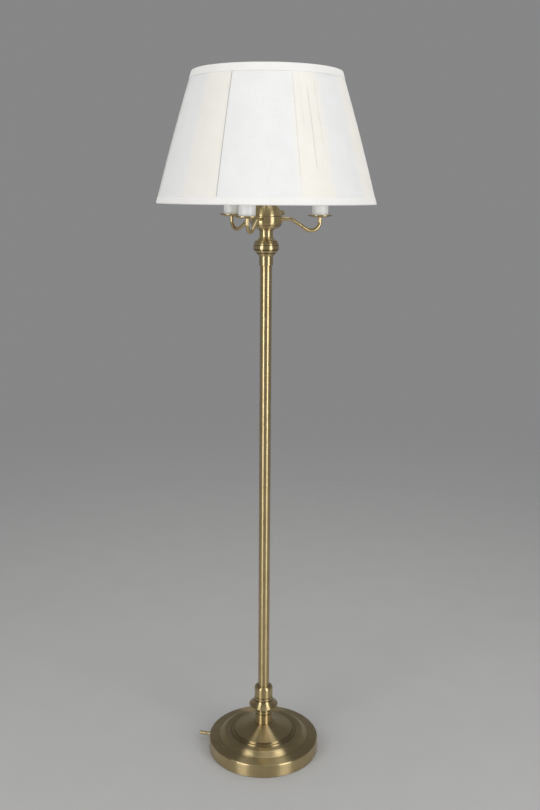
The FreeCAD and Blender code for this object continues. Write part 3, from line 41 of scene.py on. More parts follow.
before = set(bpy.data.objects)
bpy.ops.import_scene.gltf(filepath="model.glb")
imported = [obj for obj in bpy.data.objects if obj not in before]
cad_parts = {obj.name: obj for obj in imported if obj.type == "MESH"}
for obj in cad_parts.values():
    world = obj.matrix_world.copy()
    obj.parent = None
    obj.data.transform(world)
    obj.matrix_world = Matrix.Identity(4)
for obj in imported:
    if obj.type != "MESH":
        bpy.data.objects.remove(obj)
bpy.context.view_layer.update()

# ---- Places that the frame gives, in metres ----

SHADE_FOOT, LOWER_TRIM_TOP = (corner.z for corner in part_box("shade_lower_trim"))
UPPER_TRIM_FOOT, SHADE_TOP = (corner.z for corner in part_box("shade_upper_trim"))
COVER_FOOT, COVER_TOP = (corner.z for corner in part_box("shade_cover"))
LINING_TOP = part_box("shade_lining")[1].z

RING_LOW, RING_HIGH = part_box("shade_bottom_ring")
RING_WIRE = (RING_HIGH.z - RING_LOW.z) / 2
RING_LEVEL = (RING_HIGH.z + RING_LOW.z) / 2
RING_RADIUS = RING_HIGH.x - RING_WIRE
SLOPE = ((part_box("shade_lower_trim")[1].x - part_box("shade_upper_trim")[1].x)
         / (UPPER_TRIM_FOOT - SHADE_FOOT))

FELT_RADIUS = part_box("base_felt")[1].x
FELT_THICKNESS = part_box("base_felt")[1].z

CANDLES = [sum(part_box(f"candle_sleeve_{index}"), Vector()) / 2 for index in (1, 2, 3)]

# Directions round the column, in degrees from +X
RIB_COUNT = 7
RIB_SPACING = 360 / RIB_COUNT
FIRST_RIB = 245.3
RIBS = [FIRST_RIB + index * RIB_SPACING for index in range(RIB_COUNT)]
LAP_AZIMUTH = 91.4  # where the ends of the folded bands lap, at the back
OUTLET_AZIMUTH = 168.5
SWITCH_AZIMUTH = 40.0

# Turned grooves: place, half width and strength. Patina and painted shade darken the brass
# in them. The place is a height above the foot of the neck, collar or body, the ball's joint
# or the body's top, and on the base a distance from the column's axis.
NECK_GROOVES = [(0.024, 0.0012, 1.0), (0.032, 0.0011, 0.9)]
COLLAR_GROOVES = [(0.0, 0.0012, 0.9), (0.0075, 0.0011, 0.9)]
BASE_GROOVES = [(0.0212, 0.0005, 0.8), (0.0686, 0.0010, 0.9), (0.0753, 0.0011, 0.85),
                (0.1045, 0.0006, 0.4)]
BALL_GROOVES = [(-0.0072, 0.0012, 1.0), (0.0, 0.0013, 1.0), (0.0095, 0.0008, 0.8),
                (0.0135, 0.0007, 0.7), (0.0165, 0.0009, 0.8)]
BODY_GROOVES = [(0.0, 0.0008, 0.8), (0.0086, 0.0007, 0.7)]
BODY_EDGE = [(0.0, 0.0008, 0.8)]


def frame_radius(level):
    """Distance of the wire frame's centre line from the column at a level."""
    return RING_RADIUS - (level - RING_LEVEL) * SLOPE


# ---- Settings ----

def colour(name, description, default):
    """A colour setting."""
    return bpy.props.FloatVectorProperty(
        name=name, description=description, subtype="COLOR", size=3, min=0, max=1,
        default=default)


def length(name, description, default):
    """A length setting, in metres."""
    return bpy.props.FloatProperty(
        name=name, description=description, unit="LENGTH", default=default, precision=5)


def angle(name, description, degrees):
    """An angle setting, given in degrees."""
    return bpy.props.FloatProperty(
        name=name, description=description, subtype="ANGLE", default=math.radians(degrees))


def factor(name, description, default):
    """A setting from 0 to 1."""
    return bpy.props.FloatProperty(
        name=name, description=description, subtype="FACTOR", min=0, max=1, default=default)


def number(name, description, default, unit="NONE"):
    """A setting of 0 or more."""
    return bpy.props.FloatProperty(
        name=name, description=description, unit=unit, min=0, default=default)


class LampShadeSettings(bpy.types.PropertyGroup):
    cloth: colour("Cloth", "Single layer of the cover", (0.83, 0.83, 0.825))
    doubled: colour("Doubled cloth", "Where two layers of the cover lie together",
                    (0.868, 0.845, 0.79))
    shadow: colour("Seam shadow", "In the seams and creases of the cover",
                   (0.38, 0.365, 0.33))
    trim: colour("Trim", "Folded bands at both edges", (0.765, 0.752, 0.73))
    lining: colour("Lining", "Cloth inside the wire frame", (0.84, 0.835, 0.81))
    enamel: colour("Wire enamel", "Rings, ribs and spider", (0.74, 0.74, 0.71))
    enamel_run: colour("Enamel runs", "Where the enamel ran", (0.62, 0.61, 0.57))
    enamel_chip: colour("Enamel chips", "Thin spots of the enamel", (0.20, 0.19, 0.18))
    sink: length("Sink between ribs", "How far the cover sinks between two ribs", 0.0013)
    swell: length("Swell", "How far the cover stands out at half height", 0.0021)
    seam: length("Seam", "Height of the lapped seams on the ribs", 0.0006)
    crease: length("Crease", "Depth of the creases beside the seams", 0.0005)
    cover_thickness: length("Cover", "Thickness of the cover", 0.0006)
    lining_thickness: length("Lining thickness", "Thickness of the lining", 0.0005)
    trim_thickness: length("Trim thickness", "Thickness of the folded bands", 0.0007)
    lap: length("Trim lap", "How far the ends of each band lap at the back", 0.024)
    thread: length("Thread", "Distance from thread to thread of the weave", 0.0005)
    glow: factor("Light through", "Share of the light that the cloth lets through", 0.22)
    trim_glow: factor("Light through trim", "Share that the folded bands let through", 0.08)


class LampBrassSettings(bpy.types.PropertyGroup):
    pale: colour("Pale brass", "Polished side of the brass", (0.66, 0.525, 0.28))
    deep: colour("Deep brass", "Darker side of the lacquered brass", (0.55, 0.427, 0.21))
    # Patina and painted shade in the turned grooves
    patina_and_shade: colour("Patina", "In the turned grooves", (0.16, 0.11, 0.045))
    tarnish: colour("Tarnish", "Small spots on the satin brass", (0.30, 0.20, 0.085))
    bright: colour("Pressed brass", "Bright brass of the sockets", (0.78, 0.63, 0.35))
    smooth: factor("Smoothest", "Lowest roughness of the satin brass", 0.28)
    rough: factor("Roughest", "Highest roughness of the satin brass", 0.35)
    brushed: factor("Brushing", "How much the brushed lines draw the highlights out", 1.0)
    lacquer: factor("Lacquer", "Share of clear lacquer on the brass", 0.45)
    line: length("Brush line", "Width of the brushed lines round the turned parts", 0.0005)


class LampSmallPartSettings(bpy.types.PropertyGroup):
    sleeve: colour("Candle sleeve", "White of the sleeves", (0.93, 0.93, 0.925))
    sleeve_aged: colour("Aged sleeve", "Faint yellowing of the sleeves", (0.91, 0.90, 0.88))
    sleeve_streak: colour("Sleeve streaks", "Drawn along the sleeves", (0.74, 0.73, 0.70))
    black: colour("Moulded black", "Sockets, switch and key", (0.016, 0.014, 0.013))
    black_pale: colour("Flow marks", "In the moulded black", (0.036, 0.032, 0.028))
    card: colour("Liner card", "Lining of the centre socket", (0.42, 0.29, 0.17))
    card_deep: colour("Card fibres", "Darker fibres of the card", (0.28, 0.18, 0.10))
    zinc: colour("Zinc", "Plate of the fasteners", (0.50, 0.50, 0.49))
    zinc_pale: colour("Pale zinc", "Lighter grains of the plate", (0.64, 0.64, 0.65))
    iron: colour("Iron", "Paint on the weight", (0.030, 0.030, 0.032))
    rust: colour("Rust", "Where the paint on the weight is thin", (0.075, 0.055, 0.04))
    sheath: colour("Lead sheath", "Leads inside the lamp", (0.055, 0.035, 0.022))
    sheath_worn: colour("Worn sheath", "Where the leads are worn", (0.095, 0.065, 0.045))
    felt: colour("Felt", "Pad under the base", (0.018, 0.042, 0.026))
    felt_pale: colour("Pale felt", "Lighter patches of the felt", (0.030, 0.062, 0.040))
    fluff: colour("Fluff", "Loose fibres on the felt", (0.075, 0.12, 0.085))


class LampStudioSettings(bpy.types.PropertyGroup):
    backdrop: colour("Backdrop", "What the camera and the metal see round the lamp",
                     (0.24, 0.24, 0.243))
    ceiling: colour("Ceiling", "What the metal sees high above the lamp",
                    (0.13, 0.13, 0.13))
    floor: colour("Floor", "Floor under the lamp", (0.40, 0.398, 0.392))
    fill: number("Fill", "Strength of the light from all round", 0.61)
    key: number("Softboxes", "Power of a front softbox, in watts per square metre", 13.6)
    softbox_height: length("Softbox height", "From edge to edge of a front softbox", 2.1)
    softbox_level: length("Softbox level", "Middle of the front softboxes", 1.30)
    softbox_distance: length("Softbox distance", "From the column", 2.3)
    top: number("Top light", "Power of the light overhead", 12.0, "POWER")
    top_size: length("Top light size", "Side of the light overhead", 1.8)
    floor_size: length("Floor radius", "Where the floor ends", 3.6)
    floor_solid: length("Solid floor", "Radius where the floor begins to fade", 0.6)
    camera_distance: length("Camera distance", "In front of the column", 1.97755)
    camera_height: length("Camera height", "Above the floor", 1.28103)
    camera_down: angle("Camera tilt", "Down from level", 12.87)
    camera_aside: angle("Camera turn", "Leftward from straight ahead", -0.3)
    camera_roll: angle("Camera roll", "About its own line of sight", 0.4)
    focal_length: number("Focal length", "Of the camera", 41.42, "CAMERA")


SETTINGS = {
    "lamp_shade": LampShadeSettings,
    "lamp_brass": LampBrassSettings,
    "lamp_small_parts": LampSmallPartSettings,
    "lamp_studio": LampStudioSettings,
}


# ---- Finishes ----

def node(tree, kind, settings=None, **inputs):
    """A shader node with its settings and sockets. A socket goes by its name, with _ for a
    space, or by _ and its number, and takes a value or another node's output."""
    made = tree.nodes.new(f"ShaderNode{kind}")
    for key, value in (settings or {}).items():
        setattr(made, key, value)
    for key, value in inputs.items():
        socket = made.inputs[int(key[1:]) if key[1:].isdigit() else key.replace("_", " ")]
        if isinstance(value, bpy.types.NodeSocket):
            tree.links.new(value, socket)
        else:
            socket.default_value = value
    return made


def math_node(tree, operation, first, second=0.0):
    """One step of arithmetic."""
    return node(tree, "Math", {"operation": operation}, _0=first, _1=second).outputs[0]


def ranged(tree, value, low, high, new_low, new_high, smooth=False):
    """A value moved from one range to another."""
    kind = "SMOOTHSTEP" if smooth else "LINEAR"
    return node(tree, "MapRange", {"interpolation_type": kind}, _0=value, _1=low, _2=high,
                _3=new_low, _4=new_high).outputs[0]


def clouds(tree, vector, scale, detail=3.0, roughness=0.55):
    """Soft irregular patches."""
    return node(tree, "TexNoise", Vector=vector, Scale=scale, Detail=detail,
                Roughness=roughness).outputs["Fac"]


def mixed(tree, share, first, second, blend="MIX"):
    """Two colours mixed by a share."""
    def four(value):
        return value if isinstance(value, bpy.types.NodeSocket) else (*value, 1)
    return node(tree, "Mix", {"data_type": "RGBA", "blend_type": blend}, _0=share,
                _6=four(first), _7=four(second)).outputs[2]


def patchy(tree, pattern, low, high, first, second):
    """The first colour where a pattern is weak, and the second where it is strong."""
    return mixed(tree, ranged(tree, pattern, low, high, 0.0, 1.0), first, second)


def raised(tree, height, distance, strength):
    """Relief from a height."""
    return node(tree, "Bump", Height=height, Distance=distance, Strength=strength).outputs[0]


def object_place(tree, centre=(0, 0, 0), turn=(0, 0, 0), stretch=(1, 1, 1)):
    """Object coordinates about a centre, turned so that the piece's own axis is upright."""
    place = node(tree, "TexCoord").outputs["Object"]
    return node(tree, "Mapping", {"vector_type": "TEXTURE"}, Vector=place, Location=centre,
                Rotation=turn, Scale=stretch).outputs[0]


def reach_and_level(tree, centre=(0, 0, 0), turn=(0, 0, 0)):
    """Distance from a piece's own axis, and level along it."""
    parts = node(tree, "SeparateXYZ", _0=object_place(tree, centre, turn)).outputs
    across = math_node(tree, "ADD", math_node(tree, "MULTIPLY", parts[0], parts[0]),
                       math_node(tree, "MULTIPLY", parts[1], parts[1]))
    return math_node(tree, "SQRT", across), parts[2]


def new_finish(name, **surface):
    """A material with its node tree and its surface shader."""
    material = bpy.data.materials.new(name)
    material.use_nodes = True
    tree = material.node_tree
    shader = tree.nodes["Principled BSDF"]
    for key, value in surface.items():
        shader.inputs[key.replace("_", " ")].default_value = value
    return material, tree, shader


def wire_up(tree, shader, **inputs):
    """Tie outputs to the surface shader."""
    for key, value in inputs.items():
        tree.links.new(value, shader.inputs[key.replace("_", " ")])


def moved(grooves, start):
    """Grooves with their places taken from a level."""
    return [(start + place, half, strength) for place, half, strength in grooves]


def blend_shaders(tree, share, first, second, output):
    """Mix two shaders by a share and tie them to the tree's output."""
    both = node(tree, "MixShader", _0=share, _1=first.outputs[0], _2=second.outputs[0])
    tree.links.new(both.outputs[0], output.inputs["Surface"])


def groove_lines(tree, along, grooves):
    """The strength of each turned groove in its middle and 0 between them, along a distance or
    level."""
    margin = 0.01
    low, high = grooves[0][0] - margin, grooves[-1][0] + margin
    lines = node(tree, "ValToRGB", Fac=ranged(tree, along, low, high, 0.0, 1.0))
    stops = lines.color_ramp.elements
    stops.remove(stops[1])
    stops[0].position, stops[0].color = 0.0, (0, 0, 0, 1)
    for place, half, strength in grooves:
        for offset, value in ((-2 * half, 0.0), (0.0, strength), (2 * half, 0.0)):
            stop = stops.new((place + offset - low) / (high - low))
            stop.color = (value, value, value, 1)
    return lines.outputs[0]


def satin_brass(name, centre=(0, 0, 0), turn=(0, 0, 0), levels=None, reaches=None):
    """Lacquered brass, brushed on the lathe: fine lines all round, soft patches, turned
    grooves at some levels and distances from the axis, darkened by oxide and painted shade,
    and a breath of tarnish."""
    brass = bpy.context.scene.lamp_brass
    material, tree, shader = new_finish(
        name, Metallic=1.0, IOR=1.45, Anisotropic=brass.brushed, Anisotropic_Rotation=0.25,
        Coat_Weight=brass.lacquer, Coat_Roughness=0.3)
    round_tangent = node(tree, "Tangent", {"direction_type": "RADIAL", "axis": "Z"}).outputs[0]
    place = object_place(tree)
    reach, level = reach_and_level(tree, centre, turn)
    turned = node(tree, "CombineXYZ", _0=reach, _1=0.0, _2=level).outputs[0]
    lines = clouds(tree, turned, 0.5 / brass.line, 2.0, 0.7)
    coarse = clouds(tree, turned, 0.06 / brass.line, 3.0)
    patches = clouds(tree, place, 28.0, 4.0)
    tarnish = ranged(tree, clouds(tree, place, 150.0, 5.0, 0.7), 0.56, 0.78, 0.0, 0.45)
    tone = mixed(tree, ranged(tree, patches, 0.35, 0.65, 0.1, 0.9), brass.pale, brass.deep)
    tone = mixed(tree, ranged(tree, lines, 0.3, 0.7, 0.0, 0.35), tone,
                 [value * 0.8 for value in brass.deep])
    tone = mixed(tree, tarnish, tone, brass.tarnish)
    # Patina and painted shade darken the brass in the turned grooves
    for along, grooves in ((level, levels), (reach, reaches)):
        if grooves:
            tone = mixed(tree, groove_lines(tree, along, grooves), tone, brass.patina_and_shade)
    roughness = node(tree, "Mix", _0=coarse, _2=brass.smooth, _3=brass.rough).outputs[0]
    roughness = math_node(tree, "ADD", roughness, ranged(tree, lines, 0.3, 0.7, -0.015, 0.02))
    wire_up(tree, shader, Base_Color=tone, Roughness=roughness,
            Tangent=round_tangent, Normal=raised(tree, lines, brass.line * 0.02, 0.15))
    return material


def drawn_brass(name, pale, deep, smooth, rough):
    """Drawn or pressed brass: long faint scratches every way and soft patches."""
    material, tree, shader = new_finish(
        name, Metallic=1.0, IOR=1.45, Coat_Weight=bpy.context.scene.lamp_brass.lacquer,
        Coat_Roughness=0.15)
    place = object_place(tree)
    patches = clouds(tree, place, 45.0, 4.0)
    scratches = clouds(tree, object_place(tree, stretch=(1, 1, 6)), 2400.0, 3.0, 0.7)
    tone = patchy(tree, patches, 0.35, 0.65, pale, deep)
    roughness = math_node(tree, "ADD", ranged(tree, patches, 0.3, 0.7, smooth, rough),
                          ranged(tree, scratches, 0.3, 0.7, -0.03, 0.05))
    wire_up(tree, shader, Base_Color=tone, Roughness=roughness,
            Normal=raised(tree, scratches, 0.00001, 0.4))
    return material


def plated_steel():
    """Zinc-plated steel with a cloudy grain."""
    parts = bpy.context.scene.lamp_small_parts
    material, tree, shader = new_finish("zinc plate", Metallic=1.0)
    place = object_place(tree)
    grain = node(tree, "TexVoronoi", Vector=place, Scale=700.0).outputs["Color"]
    grey = node(tree, "RGBToBW", _0=grain).outputs[0]
    tone = patchy(tree, grey, 0.2, 0.8, parts.zinc, parts.zinc_pale)
    wire_up(tree, shader, Base_Color=tone,
            Roughness=ranged(tree, clouds(tree, place, 300.0), 0.3, 0.7, 0.28, 0.5),
            Normal=raised(tree, grey, 0.00001, 0.3))
    return material


def cast_iron():
    """Rough casting under a thin coat of paint."""
    parts = bpy.context.scene.lamp_small_parts
    material, tree, shader = new_finish("cast iron", Metallic=0.2)
    place = object_place(tree)
    sand = clouds(tree, place, 600.0, 6.0, 0.7)
    patches = clouds(tree, place, 40.0, 4.0)
    tone = patchy(tree, patches, 0.4, 0.7, parts.iron, parts.rust)
    wire_up(tree, shader, Base_Color=tone, Roughness=ranged(tree, sand, 0.3, 0.7, 0.55, 0.85),
            Normal=raised(tree, sand, 0.0003, 0.8))
    return material


def moulded_black():
    """Moulded phenolic with a faint grain and flow marks."""
    parts = bpy.context.scene.lamp_small_parts
    material, tree, shader = new_finish("moulded black", Specular_IOR_Level=0.5)
    place = object_place(tree)
    grain = clouds(tree, place, 1800.0, 3.0)
    flow = clouds(tree, object_place(tree, stretch=(1, 1, 4)), 60.0, 4.0)
    tone = patchy(tree, flow, 0.35, 0.7, parts.black, parts.black_pale)
    wire_up(tree, shader, Base_Color=tone, Roughness=ranged(tree, flow, 0.3, 0.7, 0.32, 0.5),
            Normal=raised(tree, grain, 0.00002, 0.5))
    return material


def candle_white(name, centre):
    """White candle sleeve: drawn streaks along it, faint yellowing and fine dust marks."""
    parts = bpy.context.scene.lamp_small_parts
    material, tree, shader = new_finish(name, Coat_Weight=0.25, Coat_Roughness=0.2)
    place = object_place(tree, centre)
    streaks = clouds(tree, object_place(tree, centre, stretch=(1, 1, 40)), 900.0, 3.0)
    yellow = clouds(tree, place, 30.0, 4.0)
    dust = clouds(tree, place, 1500.0, 4.0, 0.7)
    tone = patchy(tree, yellow, 0.35, 0.7, parts.sleeve, parts.sleeve_aged)
    tone = mixed(tree, ranged(tree, streaks, 0.35, 0.7, 0.0, 0.12), tone, parts.sleeve_streak)
    wire_up(tree, shader, Base_Color=tone,
            Roughness=ranged(tree, dust, 0.3, 0.7, 0.30, 0.46),
            Normal=raised(tree, streaks, 0.00003, 0.5))
    return material


def brown_sheath():
    """Flexible sheath of the leads."""
    parts = bpy.context.scene.lamp_small_parts
    material, tree, shader = new_finish("lead sheath")
    place = object_place(tree)
    wear = clouds(tree, place, 120.0, 4.0)
    tone = patchy(tree, wear, 0.4, 0.7, parts.sheath, parts.sheath_worn)
    wire_up(tree, shader, Base_Color=tone, Roughness=ranged(tree, wear, 0.3, 0.7, 0.35, 0.55),
            Normal=raised(tree, clouds(tree, place, 1500.0), 0.00003, 0.5))
    return material


def liner_card():
    """Pressed insulating card with long fibres."""
    parts = bpy.context.scene.lamp_small_parts
    material, tree, shader = new_finish("liner card", Roughness=0.85)
    fibres = clouds(tree, object_place(tree, stretch=(1, 1, 5)), 900.0, 5.0, 0.7)
    tone = patchy(tree, fibres, 0.35, 0.7, parts.card, parts.card_deep)
    wire_up(tree, shader, Base_Color=tone, Normal=raised(tree, fibres, 0.00006, 0.8))
    return material


def enamelled_wire():
    """White enamel on wire: thin spots where the steel shows through, drips and runs."""
    shade = bpy.context.scene.lamp_shade
    material, tree, shader = new_finish("wire enamel", Coat_Weight=0.3, Coat_Roughness=0.15)
    place = object_place(tree)
    runs = clouds(tree, place, 220.0, 4.0)
    chips = ranged(tree, clouds(tree, place, 420.0, 5.0, 0.7), 0.66, 0.72, 0.0, 0.8)
    tone = mixed(tree, ranged(tree, runs, 0.35, 0.7, 0.0, 0.5), shade.enamel, shade.enamel_run)
    tone = mixed(tree, chips, tone, shade.enamel_chip)
    wire_up(tree, shader, Base_Color=tone, Roughness=ranged(tree, runs, 0.3, 0.7, 0.3, 0.5),
            Normal=raised(tree, runs, 0.0002, 0.4))
    return material


def woven_cloth(name, plain, through, doubled=None):
    """Plain weave on the cloth's own flat map, in metres: threads over and under, slubs along
    both ways, and on the cover a warmer tone where two layers lie together and painted
    shade in its seams and creases. through is the share of the light that it lets through."""
    settings = bpy.context.scene.lamp_shade
    material, tree, shader = new_finish(
        name, Roughness=0.9, Sheen_Weight=0.25, Sheen_Roughness=0.5, Specular_IOR_Level=0.25)
    flat = node(tree, "UVMap").outputs[0]
    parts = node(tree, "SeparateXYZ", _0=flat).outputs
    turn = math.pi / settings.thread
    across, along = (math_node(tree, "SINE", math_node(tree, "MULTIPLY", part, turn))
                     for part in (parts[0], parts[1]))
    over = math_node(tree, "MULTIPLY", across, along)
    warp, weft = (node(tree, "Mapping", Vector=flat, Scale=(*scale, 1.0)).outputs[0]
                  for scale in ((1400.0, 30.0), (30.0, 1400.0)))
    slubs = math_node(tree, "ADD", clouds(tree, warp, 1.0, 2.0), clouds(tree, weft, 1.0, 2.0))
    patches = clouds(tree, flat, 22.0, 4.0)
    tone = plain
    if doubled:
        layers = node(tree, "Attribute", {"attribute_name": "doubled"}).outputs["Fac"]
        tone = mixed(tree, layers, plain, doubled)
        # Painted shade in the seams and creases of the cover, from the seams attribute
        seams = node(tree, "Attribute", {"attribute_name": "seams"}).outputs["Fac"]
        tone = mixed(tree, seams, tone, settings.shadow)
    grey = ranged(tree, slubs, 0.75, 1.25, 0.97, 1.02)
    grey = math_node(tree, "MULTIPLY", grey, ranged(tree, over, -1.0, 1.0, 0.97, 1.01))
    grey = math_node(tree, "MULTIPLY", grey, ranged(tree, patches, 0.3, 0.7, 0.975, 1.015))
    uneven = node(tree, "CombineColor", _0=grey, _1=grey, _2=grey).outputs[0]
    tone = mixed(tree, 1.0, tone, uneven, "MULTIPLY")
    relief = math_node(tree, "ADD", over, math_node(tree, "MULTIPLY", slubs, 1.5))
    lift = raised(tree, relief, settings.thread * 0.08, 0.45)
    wire_up(tree, shader, Base_Color=tone, Normal=lift)
    glow = node(tree, "BsdfTranslucent", Color=tone, Normal=lift)
    blend_shaders(tree, through, shader, glow, tree.nodes["Material Output"])
    return material


def pressed_felt():
    """Dark green felt: matted fibres and lighter fluff."""
    parts = bpy.context.scene.lamp_small_parts
    material, tree, shader = new_finish("base felt", Roughness=1.0, Sheen_Weight=0.6,
                                        Sheen_Roughness=0.6, Specular_IOR_Level=0.1)
    place = object_place(tree)
    fibres = clouds(tree, place, 1600.0, 6.0, 0.75)
    patches = clouds(tree, place, 60.0, 4.0)
    tone = patchy(tree, patches, 0.3, 0.7, parts.felt, parts.felt_pale)
    tone = mixed(tree, ranged(tree, fibres, 0.55, 0.75, 0.0, 0.7), tone, parts.fluff)
    wire_up(tree, shader, Base_Color=tone, Normal=raised(tree, fibres, 0.0004, 0.9))
    return material


def dress(names, material):
    """Give CAD nodes a finish."""
    for name in names:
        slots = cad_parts[name].data.materials
        slots.clear()
        slots.append(material)


# ---- Making pieces ----

def deselect_all():
    """Leave edit mode and select nothing."""
    if bpy.context.mode != "OBJECT":
        bpy.ops.object.mode_set(mode="OBJECT")
    bpy.ops.object.select_all(action="DESELECT")


def apply_modifier(piece, kind, **settings):
    """Add a modifier to the active piece and apply it."""
    modifier = piece.modifiers.new(kind.title(), kind)
    for key, value in settings.items():
        setattr(modifier, key, value)
    bpy.ops.object.modifier_apply(modifier=modifier.name)


def lay_cloth(name, turns, rows, place, girth, height):
    """A flat grid of cloth laid round the frame and joined to itself. turns are azimuths in
    degrees, rows run from 0 to 1 across the cloth, and place gives each crossing's point. The
    cloth's map keeps its flat size in metres."""
    deselect_all()
    columns, lines = len(turns) - 1, len(rows) - 1
    bpy.ops.mesh.primitive_grid_add(x_subdivisions=columns, y_subdivisions=lines, size=1)
    piece = bpy.context.object
    piece.name = piece.data.name = name
    mesh = piece.data
    crossings = [(round((vertex.co.x + 0.5) * columns), round((vertex.co.y + 0.5) * lines))
                 for vertex in mesh.vertices]
    for vertex, (column, line) in zip(mesh.vertices, crossings):
        vertex.co = place(turns[column], rows[line])
    flat = mesh.uv_layers.active.data
    for loop in mesh.loops:
        column, line = crossings[loop.vertex_index]
        flat[loop.index].uv = ((turns[column] - turns[0]) / 360 * girth, rows[line] * height)
    bpy.ops.object.mode_set(mode="EDIT")
    bpy.ops.mesh.select_all(action="SELECT")
    bpy.ops.mesh.remove_doubles(threshold=0.00001)
    bpy.ops.mesh.normals_make_consistent(inside=False)
    bpy.ops.object.mode_set(mode="OBJECT")
    return piece


def even_steps(count):
    """Numbers from 0 to 1 in even steps."""
    return [step / count for step in range(count + 1)]


def round_point(turn, reach, level):
    """A point at an azimuth in degrees, a distance from the column and a level."""
    bearing = math.radians(turn)
    return Vector((reach * math.cos(bearing), reach * math.sin(bearing), level))


def gauss(distance, width):
    """A smooth hump of height 1."""
    return math.exp(-(distance / width) ** 2)


def ramp(share):
    """Soft step from 0 to 1."""
    share = max(0.0, min(1.0, share))
    return share * share * (3 - 2 * share)


def window(value, low, high, edge):
    """1 between two values, with soft ends."""
    return ramp((value - low) / edge + 0.5) * ramp((high - value) / edge + 0.5)


# ---- The shade's cloth ----

# Second layers of the cover, in degrees from a rib to each edge of the layer. An edge on the
# rib is the sewn seam, and the others fade.
LAYERS = [(-21.5, 0.0), (-11.0, 9.6), (-20.0, 0.0), (-9.0, 11.0), (-21.0, 0.0), (-12.0, 8.0),
          (-19.5, 0.0)]
SHARP_EDGE, SOFT_EDGE = 0.9, 6.0
# Fold of the cover on each rib: lower and upper end as shares of its height, and depth,
# which sets both the seam's relief and its painted shade.
FOLDS = [(0.04, 1.0, 1.0), (0.26, 0.84, 0.55), (0.05, 0.97, 0.9), (0.3, 0.8, 0.5),
         (0.04, 0.99, 1.0), (0.2, 0.85, 0.5), (0.06, 0.96, 0.9)]
# Creases of the cover: degrees from a rib, which rib, lower and upper end as shares of the
# cover's height, and depth as a share of the crease setting, which also scales the painted
# shade in the crease.
CREASES = [(-9.4, 1, 0.18, 0.93, 1.0), (6.0, 1, 0.42, 0.90, 0.9), (-5.0, 1, 0.55, 0.92, 0.4),
           (3.2, 4, 0.35, 0.92, 0.8), (-6.5, 4, 0.10, 0.60, 0.6), (5.0, 6, 0.40, 0.95, 0.8)]
CREASE_SHADE = 0.36  # how dark a crease is beside a seam

# Small sizes of the cloths, in metres
FINE = [0.0003, 0.0007, 0.0011, 0.0016, 0.0023, 0.0034]  # columns beside a seam or crease
WIRE_GAP = 0.0001  # from the wire to a cloth
TRIM_GAP = 0.0002  # from the wire to a trim, besides the cloth between them
CLOTH_REACH = 0.002  # from the wire's middle to a cloth, for its flat size
TUCK = 0.006  # how far the trims reach into the shade
CREASE_WIDTH, SHADOW_WIDTH = 0.0008, 0.0006
LAYER_RISE, COVER_RIPPLE, COVER_PULL = 0.00025, 0.00022, 0.00012
LINING_SINK, LINING_PUCKER, LINING_RIPPLE, LINING_RIB = 0.0016, 0.0011, 0.0003, 0.0005
TRIM_PULL, TRIM_WAVE, TRIM_RIB = 0.00012, 0.00016, 0.0004


def cloth_turns(features, step=1.5):
    """Azimuths round the shade, closer together on both sides of each feature."""
    middle = frame_radius((COVER_FOOT + COVER_TOP) / 2)
    start = FIRST_RIB - RIB_SPACING / 2
    found = {round(start + step * index, 4) for index in range(int(360 / step) + 1)}
    for feature in features:
        base = (feature - start) % 360 + start
        near = {round(base + sign * math.degrees(offset / middle), 4)
                for offset in [0.0, *FINE] for sign in (-1, 1)}
        widest = math.degrees(FINE[-1] / middle) + step / 4
        kept = {turn for turn in found if abs(turn - base) > widest}
        found = kept | {turn for turn in near if start < turn < start + 360} | {
            start, start + 360}
    return sorted(found)


def from_rib(turn):
    """Nearest rib, and the signed degrees from it."""
    index = round((turn - FIRST_RIB) / RIB_SPACING)
    return index % RIB_COUNT, turn - FIRST_RIB - index * RIB_SPACING


def doubled_at(turn):
    """1 where the cover has two layers."""
    rib, away = from_rib(turn)
    found = 0.0
    for index, offset in ((rib, away), (rib + 1, away - RIB_SPACING)):
        low, high = LAYERS[index % RIB_COUNT]
        found = max(found, ramp((offset - low) / SOFT_EDGE + 0.5) * ramp(
            (high - offset) / (SOFT_EDGE if high else SHARP_EDGE) + 0.5))
    return found


def creases_at(turn, share, reach):
    """Distance from each crease that runs near a point, in metres, and its depth there."""
    rib = from_rib(turn)[0]
    for offset, index, low, high, depth in CREASES:
        if index in (rib, (rib + 1) % RIB_COUNT, (rib - 1) % RIB_COUNT):
            away = (turn - RIBS[index] - offset + 180) % 360 - 180
            yield math.radians(away) * reach, depth * window(share, low, high, 0.2)


def seam_shadow(turn, share, reach):
    """How much painted shade a point of the cover gets in a seam or crease, from 0 to 1."""
    rib, away = from_rib(turn)
    low, high, fold = FOLDS[rib]
    dark = fold * window(share, low, high, 0.1) * gauss(
        math.radians(away) * reach, SHADOW_WIDTH)
    for aside, depth in creases_at(turn, share, reach):
        dark = max(dark, CREASE_SHADE * depth * gauss(aside, SHADOW_WIDTH))
    return dark


def seam_section(arc):
    """Section of a lapped seam at a distance from its rib: a ridge, and a ditch beside it."""
    return 0.7 * gauss(arc + 0.0009, 0.0011) - 0.8 * gauss(arc - 0.0004, 0.0005)


def crease_section(aside):
    """Section of a crease: a ditch, and a low swell beside it."""
    return gauss(aside, CREASE_WIDTH) - 0.6 * gauss(aside + 0.0018, 0.0014)


def cone_of(top_level, offset):
    """Radii at the foot and the top of a cloth that lies offset from the wire's middle, and
    its slant height."""
    rise = top_level - COVER_FOOT
    foot, top = (frame_radius(level) + offset for level in (COVER_FOOT, top_level))
    return foot, top, math.hypot(rise, rise * SLOPE)


